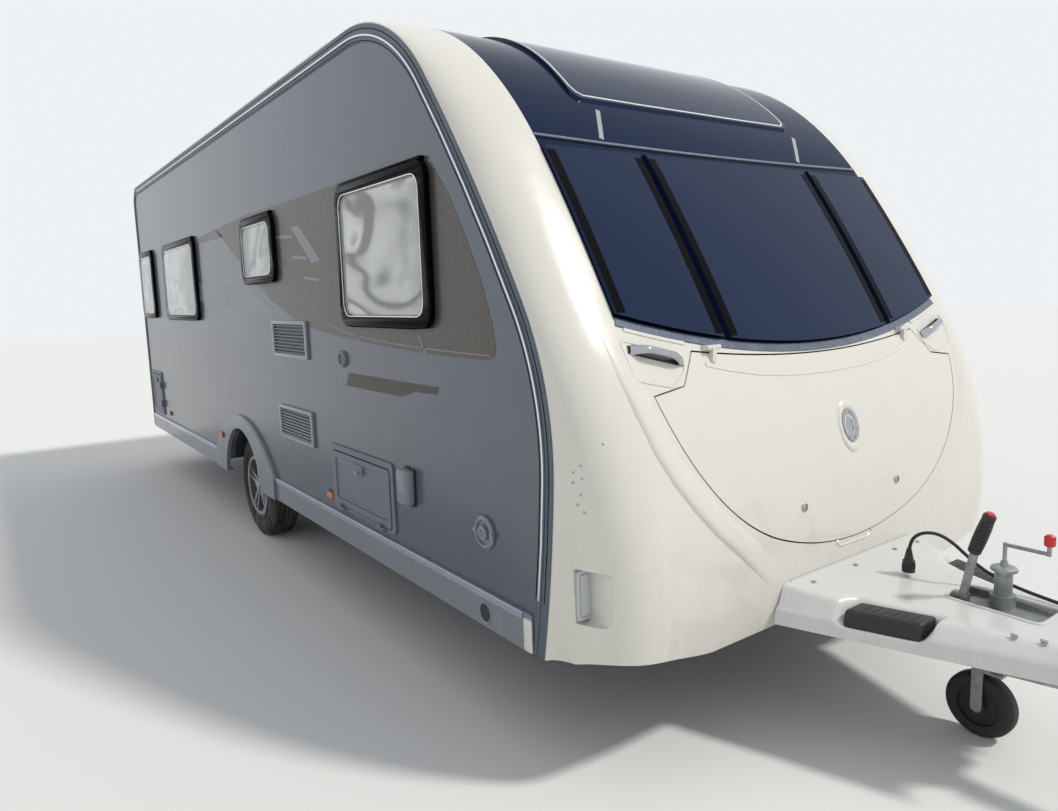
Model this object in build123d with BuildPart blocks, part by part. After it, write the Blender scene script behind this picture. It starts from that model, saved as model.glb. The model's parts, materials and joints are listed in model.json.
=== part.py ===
# Single-axle touring caravan, millimetres. +X is forward (drawbar), +Y the nearside, +Z up.
# The origin lies on the ground under the middle of the overall length and width.
import os
from math import atan2, cos, degrees, pi, radians, sin, sqrt, tan
from build123d import *

os.makedirs("parts", exist_ok=True)

# Body shell
body_half_width = 1130.0
wall = 30.0
gap = 1.0
floor_bottom = 440.0
floor_thickness = 40.0
wall_bottom = 440.0
flange = 45.0
rear_x = -3690.0
rear_roof_radius = 170.0
rear_plan_radius = 40.0
roof_split_z = 2320.0
skirt_bottom = 360.0
skirt_top = 485.0

roof_top = 2545.0
front_reach = 1900.0

# Front edge of the side walls from the roof down: start (x, z), then (radius, turn) of each arc
rail_start = (1150.0, 2500.0)
rail_arcs = [(778.0, 51.6), (6640.0, 4.0), (6640.0, 4.0), (940.0, 34.0), (4400.0, 7.2)]
# The flat middle of the front, from the roof down, in the same columns
face_start = (998.0, 2545.0)
face_arcs = [(1226.0, 40.0), (1652.0, 16.0), (6974.0, 6.0), (1534.0, 26.0), (960.0, 16.0)]
corner_width = 225.0
face_half_width = body_half_width - corner_width
corner_steps = 3
# Lower edge of the front corners: distance in from the side, height
corner_edge = [(-1.0, 356.0), (30.0, 393.0), (130.0, 405.0), (225.0, 397.0), (340.0, 374.0), (460.0, 358.0)]
front_back_x = 950.0

# Scoops for the front marker lamps: rear wall, floor's distance from the middle, z from, z to
lamp_scoop_x = 2468.0
lamp_scoop_inset = 68.0
lamp_scoop_y = body_half_width - lamp_scoop_inset
lamp_scoop_z = (515.0, 680.0)
lamp_scoop_wall = 8.0
lamp_scoop_corner = 20.0
front_lamp_size = (46.0, 140.0, 12.0)

# Dark front mask: half width, sill heights at the middle and at the edge
mask_overhang = 25.0
mask_half_width = face_half_width + mask_overhang
sill_middle = 1250.0
sill_edge = 1384.0
front_window_top = 1925.0
front_pane_split = 455.0
front_pane_gap = 32.0
front_pane_inset = 5.0
front_pane_outer = face_half_width - front_pane_inset
front_pane_thickness = 18.0
front_pane_lift = 14.0
front_pane_tilt = 27.8
front_pane_overlap = 28.0

# Roof window in the mask, seen from above: x from, x to, half widths at those ends
sunroof_back_x = 1180.0
sunroof_front_x = 1925.0
sunroof_back_half = 560.0
sunroof_front_half = 621.0
sunroof_proud = 14.0
sunroof_corner = 40.0
sunroof_low_z = 1900.0

# Gas locker lid, (y, z) seen from the front. Its widest corners lie inside the flat middle of the front.
lid_below_sill = 32.0
lid_top_rise = 44.0
lid_inset = 55.0
lid_top_middle = sill_middle - lid_below_sill
lid_top_edge = lid_top_middle + lid_top_rise
lid_half = face_half_width - lid_inset
lid_top_half = lid_half - 210.0
lid_notch = (lid_half - 130.0, 1165.0)
lid_corner = (lid_half, 1148.0)
lid_flank = (lid_half - 135.0, 880.0)
lid_heel = (lid_half - 420.0, 665.0)
lid_bottom = 585.0
lid_gap = 5.0
# Its hinges: height over the lid, distance from the middle, how far the pins stand off the front, and the
# length of the lid's arms
lid_hinge_rise = 54.0
lid_hinge_z = lid_top_middle + lid_hinge_rise
lid_hinge_y = 560.0
lid_hinge_stand = 20.0
lid_hinge_arm = 46.0

# Windows on the side walls: x from, x to, z from, z to
offside_windows = [
    (988.0, 1771.0, 1345.0, 1923.0),
    (-418.0, 148.0, 1557.0, 1912.0),
    (-2585.0, -1546.0, 1345.0, 1916.0),
    (-3580.0, -3025.0, 1354.0, 1916.0),
]
nearside_windows = [
    (988.0, 1771.0, 1345.0, 1923.0),
    (-2585.0, -1546.0, 1345.0, 1916.0),
]
pane_proud = 26.0
pane_overlap = 30.0
pane_corner = 70.0
pane_edge = 9.0
pane_step = 24.0

# Awning rails
rail_width = 13.0
rail_proud = 9.0
rail_ahead = 41.0
rail_behind = 25.0
rail_leaf = 4.0
rail_bottom = 362.0

# Wheels and axle
wheel_x = -743.0
tyre_radius = 316.0
tyre_width = 185.0
tyre_shoulder = (72.0, 305.0)
tyre_bead = 76.0
rim_radius = 190.0
rim_seat = 178.0
rim_inner = 166.0
rim_lip = 10.0
spoke_count = 5
spoke_thickness = 24.0
spoke_width = 19.0
spoke_spread = 40.0
spoke_lean = 7.0
spoke_recess = 22.0
hub_radius = 60.0
stub_radius = 30.0
running_gap = 0.3
wheel_inset = 145.0
track_half = body_half_width - wheel_inset
arch_radius = 372.0
wheel_box_depth = 330.0
wheel_box_wall = 6.0
axle_x = wheel_x + 165.0
axle_z = 284.0
axle_radius = 48.0
arm_inset = 155.0
arm_y = track_half - arm_inset
arm_thickness = 30.0
drum_radius = 125.0
drum_width = 62.0

# Entrance door on the nearside
door_from_x = -60.0
door_to_x = 560.0
door_bottom = 520.0
door_top = 2240.0
door_gap = 6.0
door_corner = 60.0
door_skin = 6.0
door_hinge_stand = 22.0
door_hinge_y = body_half_width + door_hinge_stand
door_hinges = [800.0, 1380.0, 1960.0]
door_window = (310.0, 520.0, 1780.0)
door_pane_proud = 14.0
door_handle_size = (46.0, 130.0, 34.0)
door_handle_inset = 62.0
door_handle_z = 1180.0
hinge_radius = 8.0
hinge_pin_radius = 3.5
hinge_length = 60.0

# Rooflights: x, y of each
rooflights = [(-150.0, 0.0), (-2250.0, 0.0)]
rooflight_size = 420.0
rooflight_lip = 30.0
rooflight_height = 62.0
rooflight_taper = 18.0

# Bulkhead in front of the cabin, and the notch for the drawbar in the front panel
bulkhead_x = 1950.0
drawbar_notch_half = 300.0
drawbar_notch_top = 446.0
mask_back_x = 1100.0

# Lockers on the offside: x from, x to, z from, z to
service_hatch = (752.0, 1345.0, 525.0, 780.0)
cassette_hatch = (-3540.0, -3150.0, 520.0, 860.0)
hatch_gap = 5.0
hatch_corner = 22.0
hatch_proud = 12.0
hatch_frame = 25.0
hatch_frame_proud = 8.0
hatch_hinge_stand = 18.0
hatch_hinge_y = body_half_width + hatch_hinge_stand
hatch_hinge_drop = 6.0
hatch_hinge_inset = 90.0
service_depth = 260.0
cassette_depth = 420.0
tub_wall = 5.0
hatch_border = 34.0
hatch_recess = 5.0
latch_size = (90.0, 34.0, 6.0)

# Fridge vents on the offside: x from, x to, z from, z to
fridge_vents = [(9.0, 508.0, 1177.0, 1360.0), (31.0, 513.0, 745.0, 918.0)]
vent_slats = 8
vent_frame = 16.0
vent_corner = 6.0
vent_proud = 12.0
vent_tilt = 35.0
vent_slat_depth = 20.0
vent_slat_thickness = 3.0

# Skirts and wheel spats
skirt_thickness = 10.0
skirt_lip = 20.0
skirt_fold = 6.0
nose_x = 2700.0
spat_front_x = -131.0
spat_rear_x = -1355.0
spat_top = 769.0
spat_thickness = 24.0

# Chassis side members: ends and bend of the middle line (x, y), then the channel's size
member_rear = (-3000.0, 600.0)
member_bend = (1150.0, 600.0)
member_front = (3330.0, 78.0)
member_height = 105.0
member_width = 45.0
member_wall = 7.0
member_hole = 32.0
member_hole_pitch = 420.0
cross_members = [-2960.0, -250.0, 1130.0]
cross_width = 50.0

# Overrun housing, shaft, gaiter and coupling head
plate_from_x = 2960.0
housing_from_x = 3140.0
housing_to_x = 3400.0
housing_radius = 42.0
housing_plate = 6.0
shaft_radius = 25.0
shaft_z = 408.0
gaiter_to_x = 3500.0
gaiter_folds = 6
ball_x = 3612.0
ball_z = 400.0
ball_socket_radius = 25.3
socket_skirt = 20.0
head_radius = 50.0
head_neck = 34.0
head_height = 34.0
head_edge = 12.0
head_lever_half = 14.0
head_lever_x = 3470.0
head_lever_rise = 60.0
shaft_from_x = 3200.0
gaiter_low = 5.0
gaiter_high = 14.0

# Handbrake lever: foot and tip (x, z), grip length
brake_foot = (3009.0, 446.0)
brake_tip = (3070.0, 751.0)
brake_grip = 120.0
lever_half = (7.0, 13.0)
lever_base = (46.0, 24.0, 40.0)
grip_radius = 17.0
grip_button = (9.0, 10.0)

# Drawbar cover sections: x, half width at the hem, top height
cover_sections = [(2646.0, 440.0, 505.0), (2900.0, 352.0, 474.0), (3360.0, 190.0, 468.0)]
cover_hem = 382.0
cover_wall = 5.0
cover_shoulder = 55.0
cover_flare = 14.0
cover_slot = (2978.0, 3250.0, -42.0, 118.0)
cover_slot_corner = 20.0
cover_rib_places = (2720.0, 2900.0)

# Jockey wheel
jockey_x = 3097.0
jockey_y = 80.0
jockey_wheel_radius = 105.0
jockey_wheel_width = 56.0
jockey_trail = 48.0
jockey_bore = 21.3
jockey_outer_radius = 25.0
jockey_inner_radius = 21.0
jockey_outer_low = 330.0
jockey_outer_top = 565.0
jockey_tube_low = 236.0
jockey_tube_top = 470.0
fork_plate = 5.0
fork_gap = 5.3
fork_bridge = 10.0
fork_half = 17.0
jockey_collar = (36.0, 40.0)
jockey_dish = 12.0
jockey_dish_radius = 65.0
jockey_hub = 24.0
crank_radius = 6.0
crank_rise = 85.0
crank_end = (3216.0, 668.0)
knob_size = (15.0, 36.0)
jockey_pin = 8.0

# Corner steadies: name, x of the pivot, side, way the leg lies (+1 forward)
steadies = [
    ("steady_front_offside", 1500.0, -1, 1),
    ("steady_front_nearside", 1500.0, 1, 1),
    ("steady_rear_offside", -2700.0, -1, -1),
    ("steady_rear_nearside", -2700.0, 1, -1),
]
steady_y = 800.0
steady_pivot_z = 392.0
steady_length = 455.0
steady_width = 44.0
steady_depth = 30.0
steady_wall = 4.0
steady_foot = (30.0, 90.0)
steady_pin = 8.0

# Side marker lamps: x, z, and the front and rear lamps
side_markers = [(688.0, 549.0), (-1144.0, 600.0), (-2906.0, 549.0)]
side_marker_size = (64.0, 26.0, 14.0)
rear_lamp = (110.0, 330.0, 26.0)
rear_lamp_inset = 145.0
rear_lamp_place = (body_half_width - rear_lamp_inset, 700.0)
rear_bar_lamp = (420.0, 26.0, 16.0)
rear_bar_z = 2230.0
plate_size = (520.0, 112.0, 4.0)
plate_z = 560.0

# Grab handles: ends (y, z) on the front, and height on the rear
grab_inner = (lid_half - 195.0, 1288.0)
grab_outer = (lid_half, 1348.0)
grab_radius = 9.0
grab_stand = 34.0
rear_grab_inset = 120.0
rear_grab_y = body_half_width - rear_grab_inset
rear_grab_z = (1150.0, 1330.0)

# Fittings on the offside wall
cowl = (1430.0, 1551.0, 670.0, 815.0)
cowl_depth = 46.0
water_inlet = (2034.0, 686.0, 72.0)
gas_point = (928.0, 1201.0, 25.0)
fitting_depth = 16.0
fitting_cap_share = 0.75

# Parked plug and its lead
plug_place = (2832.0, 20.0)
plug_radius = 20.0
plug_height = 58.0
plug_seat = 3 * plug_radius
plug_base_z = 476.0
plug_holder_height = 22.0
lead_diameter = 11.0
lead_arc_share = 0.45
gland_length = 24.0
lead_route = [
    (2832.0, 20.0, 600.0), (2858.0, 35.0, 634.0), (2902.0, 60.0, 638.0), (2942.0, 83.0, 610.0),
    (2978.0, 105.0, 568.0), (3018.0, 126.0, 530.0), (3068.0, 141.0, 504.0), (3128.0, 150.0, 488.0),
    (3192.0, 148.0, 481.0), (3256.0, 136.0, 479.0), (3316.0, 116.0, 478.0),
]

# Gas locker behind its lid
locker_half = 880.0
locker_top = 1200.0


def save(part, label):
    part.label = label
    export_step(part, f"parts/{label}.step")


def arc_chain(start, arcs, inset=0.0):
    """(x, z) of the ends and middle of each arc, with the outline moved in by inset."""
    x, z = start[0], start[1] - inset
    heading = 0.0
    points = [(x, z)]
    for radius, turn in arcs:
        r = radius - inset
        for part in (0.5, 1.0):
            h = heading + turn * part
            dx = r * (sin(radians(h)) - sin(radians(heading)))
            dz = r * (cos(radians(heading)) - cos(radians(h)))
            points.append((x + dx, z - dz))
        x, z = points[-1]
        heading += turn
    return points


def face_x(height, inset=0.0):
    """X of the front's flat middle at that height."""
    x, z = face_start[0], face_start[1] - inset
    heading = 0.0
    for radius, turn in face_arcs:
        r = radius - inset
        low = z - r * (cos(radians(heading)) - cos(radians(heading + turn)))
        if height >= low:
            c = cos(radians(heading)) - (z - height) / r
            return x + r * (sqrt(1 - c * c) - sin(radians(heading)))
        x += r * (sin(radians(heading + turn)) - sin(radians(heading)))
        z = low
        heading += turn
    return x


def xz_plane(y):
    """Sketch plane with local axes X and Z at that Y. It extrudes towards -Y."""
    return Plane(origin=(0, y, 0), x_dir=(1, 0, 0), z_dir=(0, -1, 0))


def wall_plane(side, x, z, y=body_half_width):
    """Sketch plane on a side wall's face, with local X along the body. It extrudes outwards."""
    return Plane(origin=(x, side * y, z), x_dir=(-side, 0, 0), z_dir=(0, side, 0))


def front_plane(x, y=0.0, z=0.0):
    """Sketch plane facing forward, with local axes Y and Z."""
    return Plane(origin=(x, y, z), x_dir=(0, 1, 0), z_dir=(1, 0, 0))


def corner_sections(side, inset):
    """(y, points) of the front corner's sections, from the wall inwards."""
    outer = arc_chain(rail_start, rail_arcs, inset)
    inner = arc_chain(face_start, face_arcs, inset)
    width = body_half_width - inset - face_half_width
    sections = []
    for step in range(corner_steps):
        angle = radians(90 * step / (corner_steps - 1))
        y = face_half_width + width * cos(angle)
        share = sin(angle)
        points = [(p[0] + (q[0] - p[0]) * share, p[1] + (q[1] - p[1]) * share) for p, q in zip(outer, inner)]
        sections.append((side * y, points))
    return sections


def front_corner(side, inset):
    """One front corner as a solid block behind the outer surface."""
    back = front_back_x - inset
    low = skirt_bottom - wall - inset
    with BuildPart() as block:
        for y, points in corner_sections(side, inset):
            with BuildSketch(xz_plane(y)):
                with BuildLine():
                    for i in range(0, len(points) - 1, 2):
                        ThreePointArc(points[i], points[i + 1], points[i + 2])
                    Polyline(points[-1], (points[-1][0], low), (back, low), (back, points[0][1]), points[0])
                make_face()
        loft()
    return block.part


def front_middle(inset, half=face_half_width, shift=(0.0, 0.0)):
    """The flat middle of the front as a solid block behind the outer surface."""
    back = front_back_x - inset
    low = skirt_bottom - wall - inset
    points = [(p[0] + shift[0], p[1] + shift[1]) for p in arc_chain(face_start, face_arcs, inset)]
    with BuildPart() as block:
        with BuildSketch(xz_plane(half)):
            with BuildLine():
                for i in range(0, len(points) - 1, 2):
                    ThreePointArc(points[i], points[i + 1], points[i + 2])
                Polyline(points[-1], (points[-1][0], low), (back, low), (back, points[0][1]), points[0])
            make_face()
        extrude(amount=2 * half)
    return block.part


def sill_height(y):
    return sill_middle + (sill_edge - sill_middle) * (y / mask_half_width) ** 2


def above_sill(y_from, y_to, lift=0.0, top=2 * roof_top):
    """Everything above the curved sill line between two distances from the middle."""
    middle = (y_from + y_to) / 2
    with BuildPart() as band:
        with BuildSketch(front_plane(front_back_x)):
            with BuildLine():
                ThreePointArc(
                    (y_from, sill_height(y_from) + lift),
                    (middle, sill_height(middle) + lift),
                    (y_to, sill_height(y_to) + lift),
                )
                Polyline(
                    (y_to, sill_height(y_to) + lift),
                    (y_to, top),
                    (y_from, top),
                    (y_from, sill_height(y_from) + lift),
                )
            make_face()
        extrude(amount=front_reach)
    return band.part


def side_slab(side, y_from, y_to, inset, bottom):
    """A slab with the side wall's outline, moved in by inset, between two distances from the middle."""
    points = arc_chain(rail_start, rail_arcs, inset)
    back = rear_x + inset
    turn = rear_roof_radius - inset
    low = points[-1]
    top = points[0]
    with BuildPart() as slab:
        with BuildSketch(xz_plane(side * y_from)):
            with BuildLine():
                for i in range(0, len(points) - 1, 2):
                    ThreePointArc(points[i], points[i + 1], points[i + 2])
                Polyline(low, (low[0], bottom - wall), (back, bottom - wall), (back, top[1] - turn))
                RadiusArc((back, top[1] - turn), (back + turn, top[1]), turn)
                Line((back + turn, top[1]), top)
            make_face()
        extrude(amount=-side * (y_to - y_from))
        split(bisect_by=Plane.XY.offset(bottom), keep=Keep.TOP)
    return slab.part


def body_block(inset):
    """The rear and middle of the body as a solid block behind the outer surface."""
    top = roof_top - inset
    half = body_half_width - inset
    back = rear_x + inset
    length = front_back_x - back
    with BuildPart() as block:
        with BuildSketch(front_plane(back)):
            with BuildLine():
                for side in (-1, 1):
                    EllipticalCenterArc(
                        (side * face_half_width, rail_start[1] - inset),
                        half - face_half_width,
                        roof_top - rail_start[1],
                        start_angle=0 if side > 0 else 90,
                        arc_size=90,
                    )
                Line((-face_half_width, top), (face_half_width, top))
                Polyline(
                    (half, rail_start[1] - inset), (half, skirt_bottom), (-half, skirt_bottom),
                    (-half, rail_start[1] - inset),
                )
            make_face()
        extrude(amount=length)
        with BuildSketch(xz_plane(half)):
            with BuildLine():
                turn = rear_roof_radius - inset
                Polyline(
                    (back + turn, top),
                    (front_back_x, top),
                    (front_back_x, skirt_bottom),
                    (back, skirt_bottom),
                    (back, top - turn),
                )
                RadiusArc((back, top - turn), (back + turn, top), turn)
            make_face()
        extrude(amount=2 * half, mode=Mode.INTERSECT)
        with BuildSketch(Plane.XY.offset(skirt_bottom)) as plan:
            with Locations((back + length / 2, 0)):
                Rectangle(length, 2 * half)
            fillet(plan.vertices().group_by(Axis.X)[0], radius=rear_plan_radius - inset)
        extrude(amount=roof_top, mode=Mode.INTERSECT)
    return block.part


def side_block(side, x_from, x_to, z_from, z_to, corner, y_from, y_to):
    """A block with rounded corners seen from the side, between two distances from the middle."""
    with BuildPart() as block:
        with BuildSketch(wall_plane(side, (x_from + x_to) / 2, (z_from + z_to) / 2, y_from)):
            RectangleRounded(x_to - x_from, z_to - z_from, corner)
        extrude(amount=y_to - y_from)
    return block.part


def side_disc(side, x, z, radius, y_from, y_to):
    """A disc on a side wall between two distances from the middle."""
    with BuildPart() as disc:
        with BuildSketch(wall_plane(side, x, z, y_from)):
            Circle(radius)
        extrude(amount=y_to - y_from)
    return disc.part


def box_between(x_from, x_to, y_from, y_to, z_from, z_to):
    with BuildPart() as block:
        with Locations(((x_from + x_to) / 2, (y_from + y_to) / 2, (z_from + z_to) / 2)):
            Box(x_to - x_from, y_to - y_from, z_to - z_from)
    return block.part


def lid_prism(grow):
    """The gas locker lid's outline, seen from the front, as a block through the front panel."""
    with BuildPart() as block:
        with BuildSketch(front_plane(front_back_x)) as outline:
            with BuildLine():
                ThreePointArc(
                    (-lid_top_half, lid_top_edge),
                    (0, lid_top_middle),
                    (lid_top_half, lid_top_edge),
                )
                Polyline((lid_top_half, lid_top_edge), lid_notch, lid_corner)
                ThreePointArc(lid_corner, lid_flank, lid_heel)
                ThreePointArc(lid_heel, (0, lid_bottom), (-lid_heel[0], lid_heel[1]))
                ThreePointArc(
                    (-lid_heel[0], lid_heel[1]),
                    (-lid_flank[0], lid_flank[1]),
                    (-lid_corner[0], lid_corner[1]),
                )
                Polyline(
                    (-lid_corner[0], lid_corner[1]),
                    (-lid_notch[0], lid_notch[1]),
                    (-lid_top_half, lid_top_edge),
                )
            make_face()
            if grow:
                offset(amount=grow, kind=Kind.INTERSECTION)
        extrude(amount=front_reach)
    return block.part


def wheel_arch(radius, side, y_from, y_to):
    """The round part of the wheel opening and the space straight below it."""
    with BuildPart() as block:
        with BuildSketch(wall_plane(side, wheel_x, tyre_radius, y_from)):
            Circle(radius)
            with Locations((0, -radius / 2)):
                Rectangle(2 * radius, radius)
        extrude(amount=y_to - y_from)
    return block.part


def hinge_half(center, axis, arm, reach, moving):
    """Half of a hinge: knuckles about its axis with arms towards what they sit on, and the pin."""
    third = hinge_length / 3
    if moving:
        spans = [(-third / 2 + gap, third / 2 - gap)]
    else:
        spans = [(-hinge_length / 2, -third / 2), (third / 2, hinge_length / 2)]
    plane = Plane(origin=center, x_dir=arm, z_dir=axis)
    with BuildPart() as half:
        for start, stop in spans:
            with BuildSketch(plane.offset(start)):
                Circle(hinge_radius)
                with Locations((reach / 2, 0)):
                    Rectangle(reach, 2 * hinge_radius)
            extrude(amount=stop - start)
        with BuildSketch(plane.offset(-hinge_length / 2)):
            Circle(hinge_pin_radius + (running_gap if moving else 0))
        extrude(amount=hinge_length, mode=Mode.SUBTRACT if moving else Mode.ADD)
    return half.part


# Body shell: roof with its edges, and the rear panel
body_outer = body_block(0.0)
body_inner = body_block(wall)
side_gap = {
    side: side_slab(side, body_half_width - wall, body_half_width + gap, flange, skirt_bottom - 2 * wall)
    for side in (-1, 1)
}

with BuildPart() as body_shell:
    add(body_outer)
    add(body_inner, mode=Mode.SUBTRACT)
    for side in (-1, 1):
        add(side_gap[side], mode=Mode.SUBTRACT)

with BuildPart() as roof_panel:
    add(body_shell.part)
    split(bisect_by=Plane.XY.offset(roof_split_z), keep=Keep.TOP)
    for x, y in rooflights:
        add(
            box_between(
                x - rooflight_size / 2 + rooflight_lip, x + rooflight_size / 2 - rooflight_lip,
                y - rooflight_size / 2 + rooflight_lip, y + rooflight_size / 2 - rooflight_lip,
                roof_top - 2 * wall, roof_top + wall,
            ),
            mode=Mode.SUBTRACT,
        )
save(roof_panel.part, "roof_panel")

with BuildPart() as rear_panel:
    add(body_shell.part)
    split(bisect_by=Plane.XY.offset(roof_split_z), keep=Keep.BOTTOM)
    split(bisect_by=Plane.YZ.offset(rear_x + flange), keep=Keep.BOTTOM)
save(rear_panel.part, "rear_panel")

# Side walls, with their windows, door, hatches and wheel arch cut through
for side, wall_name, windows in (
    (-1, "offside_wall", offside_windows),
    (1, "nearside_wall", nearside_windows),
):
    inner_face = body_half_width - wall
    with BuildPart() as side_wall:
        add(side_slab(side, inner_face, body_half_width, flange + gap, wall_bottom))
        for x0, x1, z0, z1 in windows:
            cut = pane_overlap
            add(
                side_block(
                    side, x0 + cut, x1 - cut, z0 + cut, z1 - cut, pane_corner - cut,
                    inner_face - gap, body_half_width + gap,
                ),
                mode=Mode.SUBTRACT,
            )
        add(wheel_arch(arch_radius, side, inner_face - gap, body_half_width + gap), mode=Mode.SUBTRACT)
        if side < 0:
            for x0, x1, z0, z1 in (service_hatch, cassette_hatch):
                add(
                    side_block(
                        side, x0, x1, z0, z1, hatch_corner, inner_face - gap, body_half_width + gap
                    ),
                    mode=Mode.SUBTRACT,
                )
            for x0, x1, z0, z1 in fridge_vents:
                cut = vent_frame
                add(
                    side_block(
                        side, x0 + cut, x1 - cut, z0 + cut, z1 - cut, vent_corner,
                        inner_face - gap, body_half_width + gap,
                    ),
                    mode=Mode.SUBTRACT,
                )
        else:
            add(
                side_block(
                    side, door_from_x, door_to_x, door_bottom, door_top, door_corner,
                    inner_face - gap, body_half_width + gap,
                ),
                mode=Mode.SUBTRACT,
            )
    save(side_wall.part, wall_name)

# Floor, cut round the wheel boxes
with BuildPart() as floor_panel:
    add(
        box_between(
            rear_x + rear_plan_radius, bulkhead_x,
            -(body_half_width - wall - gap), body_half_width - wall - gap,
            floor_bottom, floor_bottom + floor_thickness,
        )
    )
    for side in (-1, 1):
        add(
            wheel_arch(
                arch_radius + wheel_box_wall + gap, side,
                body_half_width - wall - wheel_box_depth - wheel_box_wall - gap, body_half_width,
            ),
            mode=Mode.SUBTRACT,
        )
save(floor_panel.part, "floor_panel")

with BuildPart() as wheel_boxes:
    for side in (-1, 1):
        box_outer = body_half_width - wall - gap
        box_inner = box_outer - wheel_box_depth
        add(wheel_arch(arch_radius + wheel_box_wall, side, box_inner - wheel_box_wall, box_outer))
        add(wheel_arch(arch_radius, side, box_inner, box_outer + gap), mode=Mode.SUBTRACT)
    split(bisect_by=Plane.XY.offset(floor_bottom), keep=Keep.TOP)
save(wheel_boxes.part, "wheel_boxes")

# Front panel: two lofted corners joined by the flat middle, open at the mask and the gas locker
middle_outer = front_middle(0.0)
middle_inner = front_middle(wall, face_half_width + gap)

with BuildPart() as mask_space:
    add(above_sill(-face_half_width, face_half_width))
    split(bisect_by=Plane.YZ.offset(mask_back_x), keep=Keep.TOP)

def lamp_scoop(side, grow):
    """The space of a marker lamp's scoop in a front corner, made larger by grow."""
    with BuildPart() as scoop:
        with BuildSketch(front_plane(lamp_scoop_x - grow, side * (lamp_scoop_y - grow + front_reach / 2))):
            with Locations((0, (lamp_scoop_z[0] + lamp_scoop_z[1]) / 2)):
                RectangleRounded(
                    front_reach, lamp_scoop_z[1] - lamp_scoop_z[0] + 2 * grow, lamp_scoop_corner + grow
                )
        extrude(amount=front_reach)
    return scoop.part


corner_shells = []
for side in (-1, 1):
    corner_outer = front_corner(side, 0.0)
    with BuildPart() as scoop_liner:
        add(corner_outer)
        add(lamp_scoop(side, lamp_scoop_wall), mode=Mode.INTERSECT)
    with BuildPart() as corner_shell:
        add(corner_outer)
        add(front_corner(side, wall), mode=Mode.SUBTRACT)
        add(side_gap[side], mode=Mode.SUBTRACT)
        add(scoop_liner.part)
        add(lamp_scoop(side, 0.0), mode=Mode.SUBTRACT)
    corner_shells.append(corner_shell.part)

lid_hinge_x = face_x(lid_hinge_z) + lid_hinge_stand
lid_hinges = [((lid_hinge_x, side * lid_hinge_y, lid_hinge_z), (0, 1, 0)) for side in (-1, 1)]

with BuildPart() as front_panel:
    add(middle_outer)
    add(middle_inner, mode=Mode.SUBTRACT)
    add(corner_shells)
    add(mask_space.part, mode=Mode.SUBTRACT)
    add(lid_prism(lid_gap), mode=Mode.SUBTRACT)
    add(
        box_between(
            bulkhead_x, bulkhead_x + front_reach, -drawbar_notch_half, drawbar_notch_half,
            0.0, drawbar_notch_top,
        ),
        mode=Mode.SUBTRACT,
    )
    split(bisect_by=Plane.XY.offset(skirt_bottom), keep=Keep.TOP)
    with BuildSketch(front_plane(bulkhead_x)):
        for side in (-1, 1):
            edge = [(side * (body_half_width - inset), height) for inset, height in corner_edge]
            with BuildLine():
                Spline(*edge)
                Polyline(edge[-1], (edge[-1][0], 0), (edge[0][0], 0), edge[0])
            make_face()
    extrude(amount=front_reach, mode=Mode.SUBTRACT)
    for center, axis in lid_hinges:
        add(hinge_half(center, axis, (-1, 0, 0), lid_hinge_arm, False))
save(front_panel.part, "front_panel")

with BuildPart() as front_lamps:
    width, height, depth = front_lamp_size
    for side in (-1, 1):
        middle = side * (lamp_scoop_y + width / 2)
        with BuildSketch(front_plane(lamp_scoop_x, middle, (lamp_scoop_z[0] + lamp_scoop_z[1]) / 2)):
            RectangleRounded(width, height, width / 4)
        extrude(amount=depth)
save(front_lamps.part, "front_marker_lamps")

# Dark gloss mask round the front windows, with the windows and the roof window cut through
def front_window(y_from, y_to, inset):
    """A front window's outline as a block through the mask, moved in by inset."""
    with BuildPart() as block:
        low = front_pane_lift + inset
        high = front_window_top - inset
        add(above_sill(y_from + inset, y_to - inset, lift=low, top=high))
    return block.part


def sunroof_prism(inset):
    """The roof window's outline, seen from above, as a block."""
    with BuildPart() as block:
        with BuildSketch(Plane.XY.offset(sunroof_low_z)) as outline:
            with BuildLine():
                Polyline(
                    (sunroof_back_x, -sunroof_back_half),
                    (sunroof_front_x, -sunroof_front_half),
                    (sunroof_front_x, sunroof_front_half),
                    (sunroof_back_x, sunroof_back_half),
                    close=True,
                )
            make_face()
            fillet(outline.vertices(), radius=sunroof_corner)
            if inset:
                offset(amount=-inset)
        extrude(amount=roof_top)
    return block.part


half_split = front_pane_split
panes = [
    (-front_pane_outer, -half_split - front_pane_gap),
    (-half_split, half_split),
    (half_split + front_pane_gap, front_pane_outer),
]
pane_shift = (
    front_pane_thickness * cos(radians(front_pane_tilt)),
    front_pane_thickness * sin(radians(front_pane_tilt)),
)
pane_block = front_middle(0.0, face_half_width, pane_shift)
with BuildPart() as window_outlines:
    for y_from, y_to in panes:
        add(front_window(y_from, y_to, 0.0))
with BuildPart() as front_windows:
    add(pane_block)
    add(window_outlines.part, mode=Mode.INTERSECT)
    add(middle_outer, mode=Mode.SUBTRACT)
save(front_windows.part, "front_windows")

sunroof_block = front_middle(0.0, face_half_width, (0.0, sunroof_proud))
with BuildPart() as sunroof_glass:
    add(sunroof_block)
    add(sunroof_prism(0.0), mode=Mode.INTERSECT)
    add(middle_outer, mode=Mode.SUBTRACT)
save(sunroof_glass.part, "sunroof_glass")

with BuildPart() as front_mask:
    add(middle_outer)
    add(middle_inner, mode=Mode.SUBTRACT)
    add(above_sill(-face_half_width + gap, face_half_width - gap, lift=gap), mode=Mode.INTERSECT)
    split(bisect_by=Plane.YZ.offset(mask_back_x + gap), keep=Keep.TOP)
    for y_from, y_to in panes:
        add(front_window(y_from, y_to, front_pane_overlap), mode=Mode.SUBTRACT)
    add(sunroof_prism(front_pane_overlap), mode=Mode.SUBTRACT)
save(front_mask.part, "front_mask")

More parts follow.
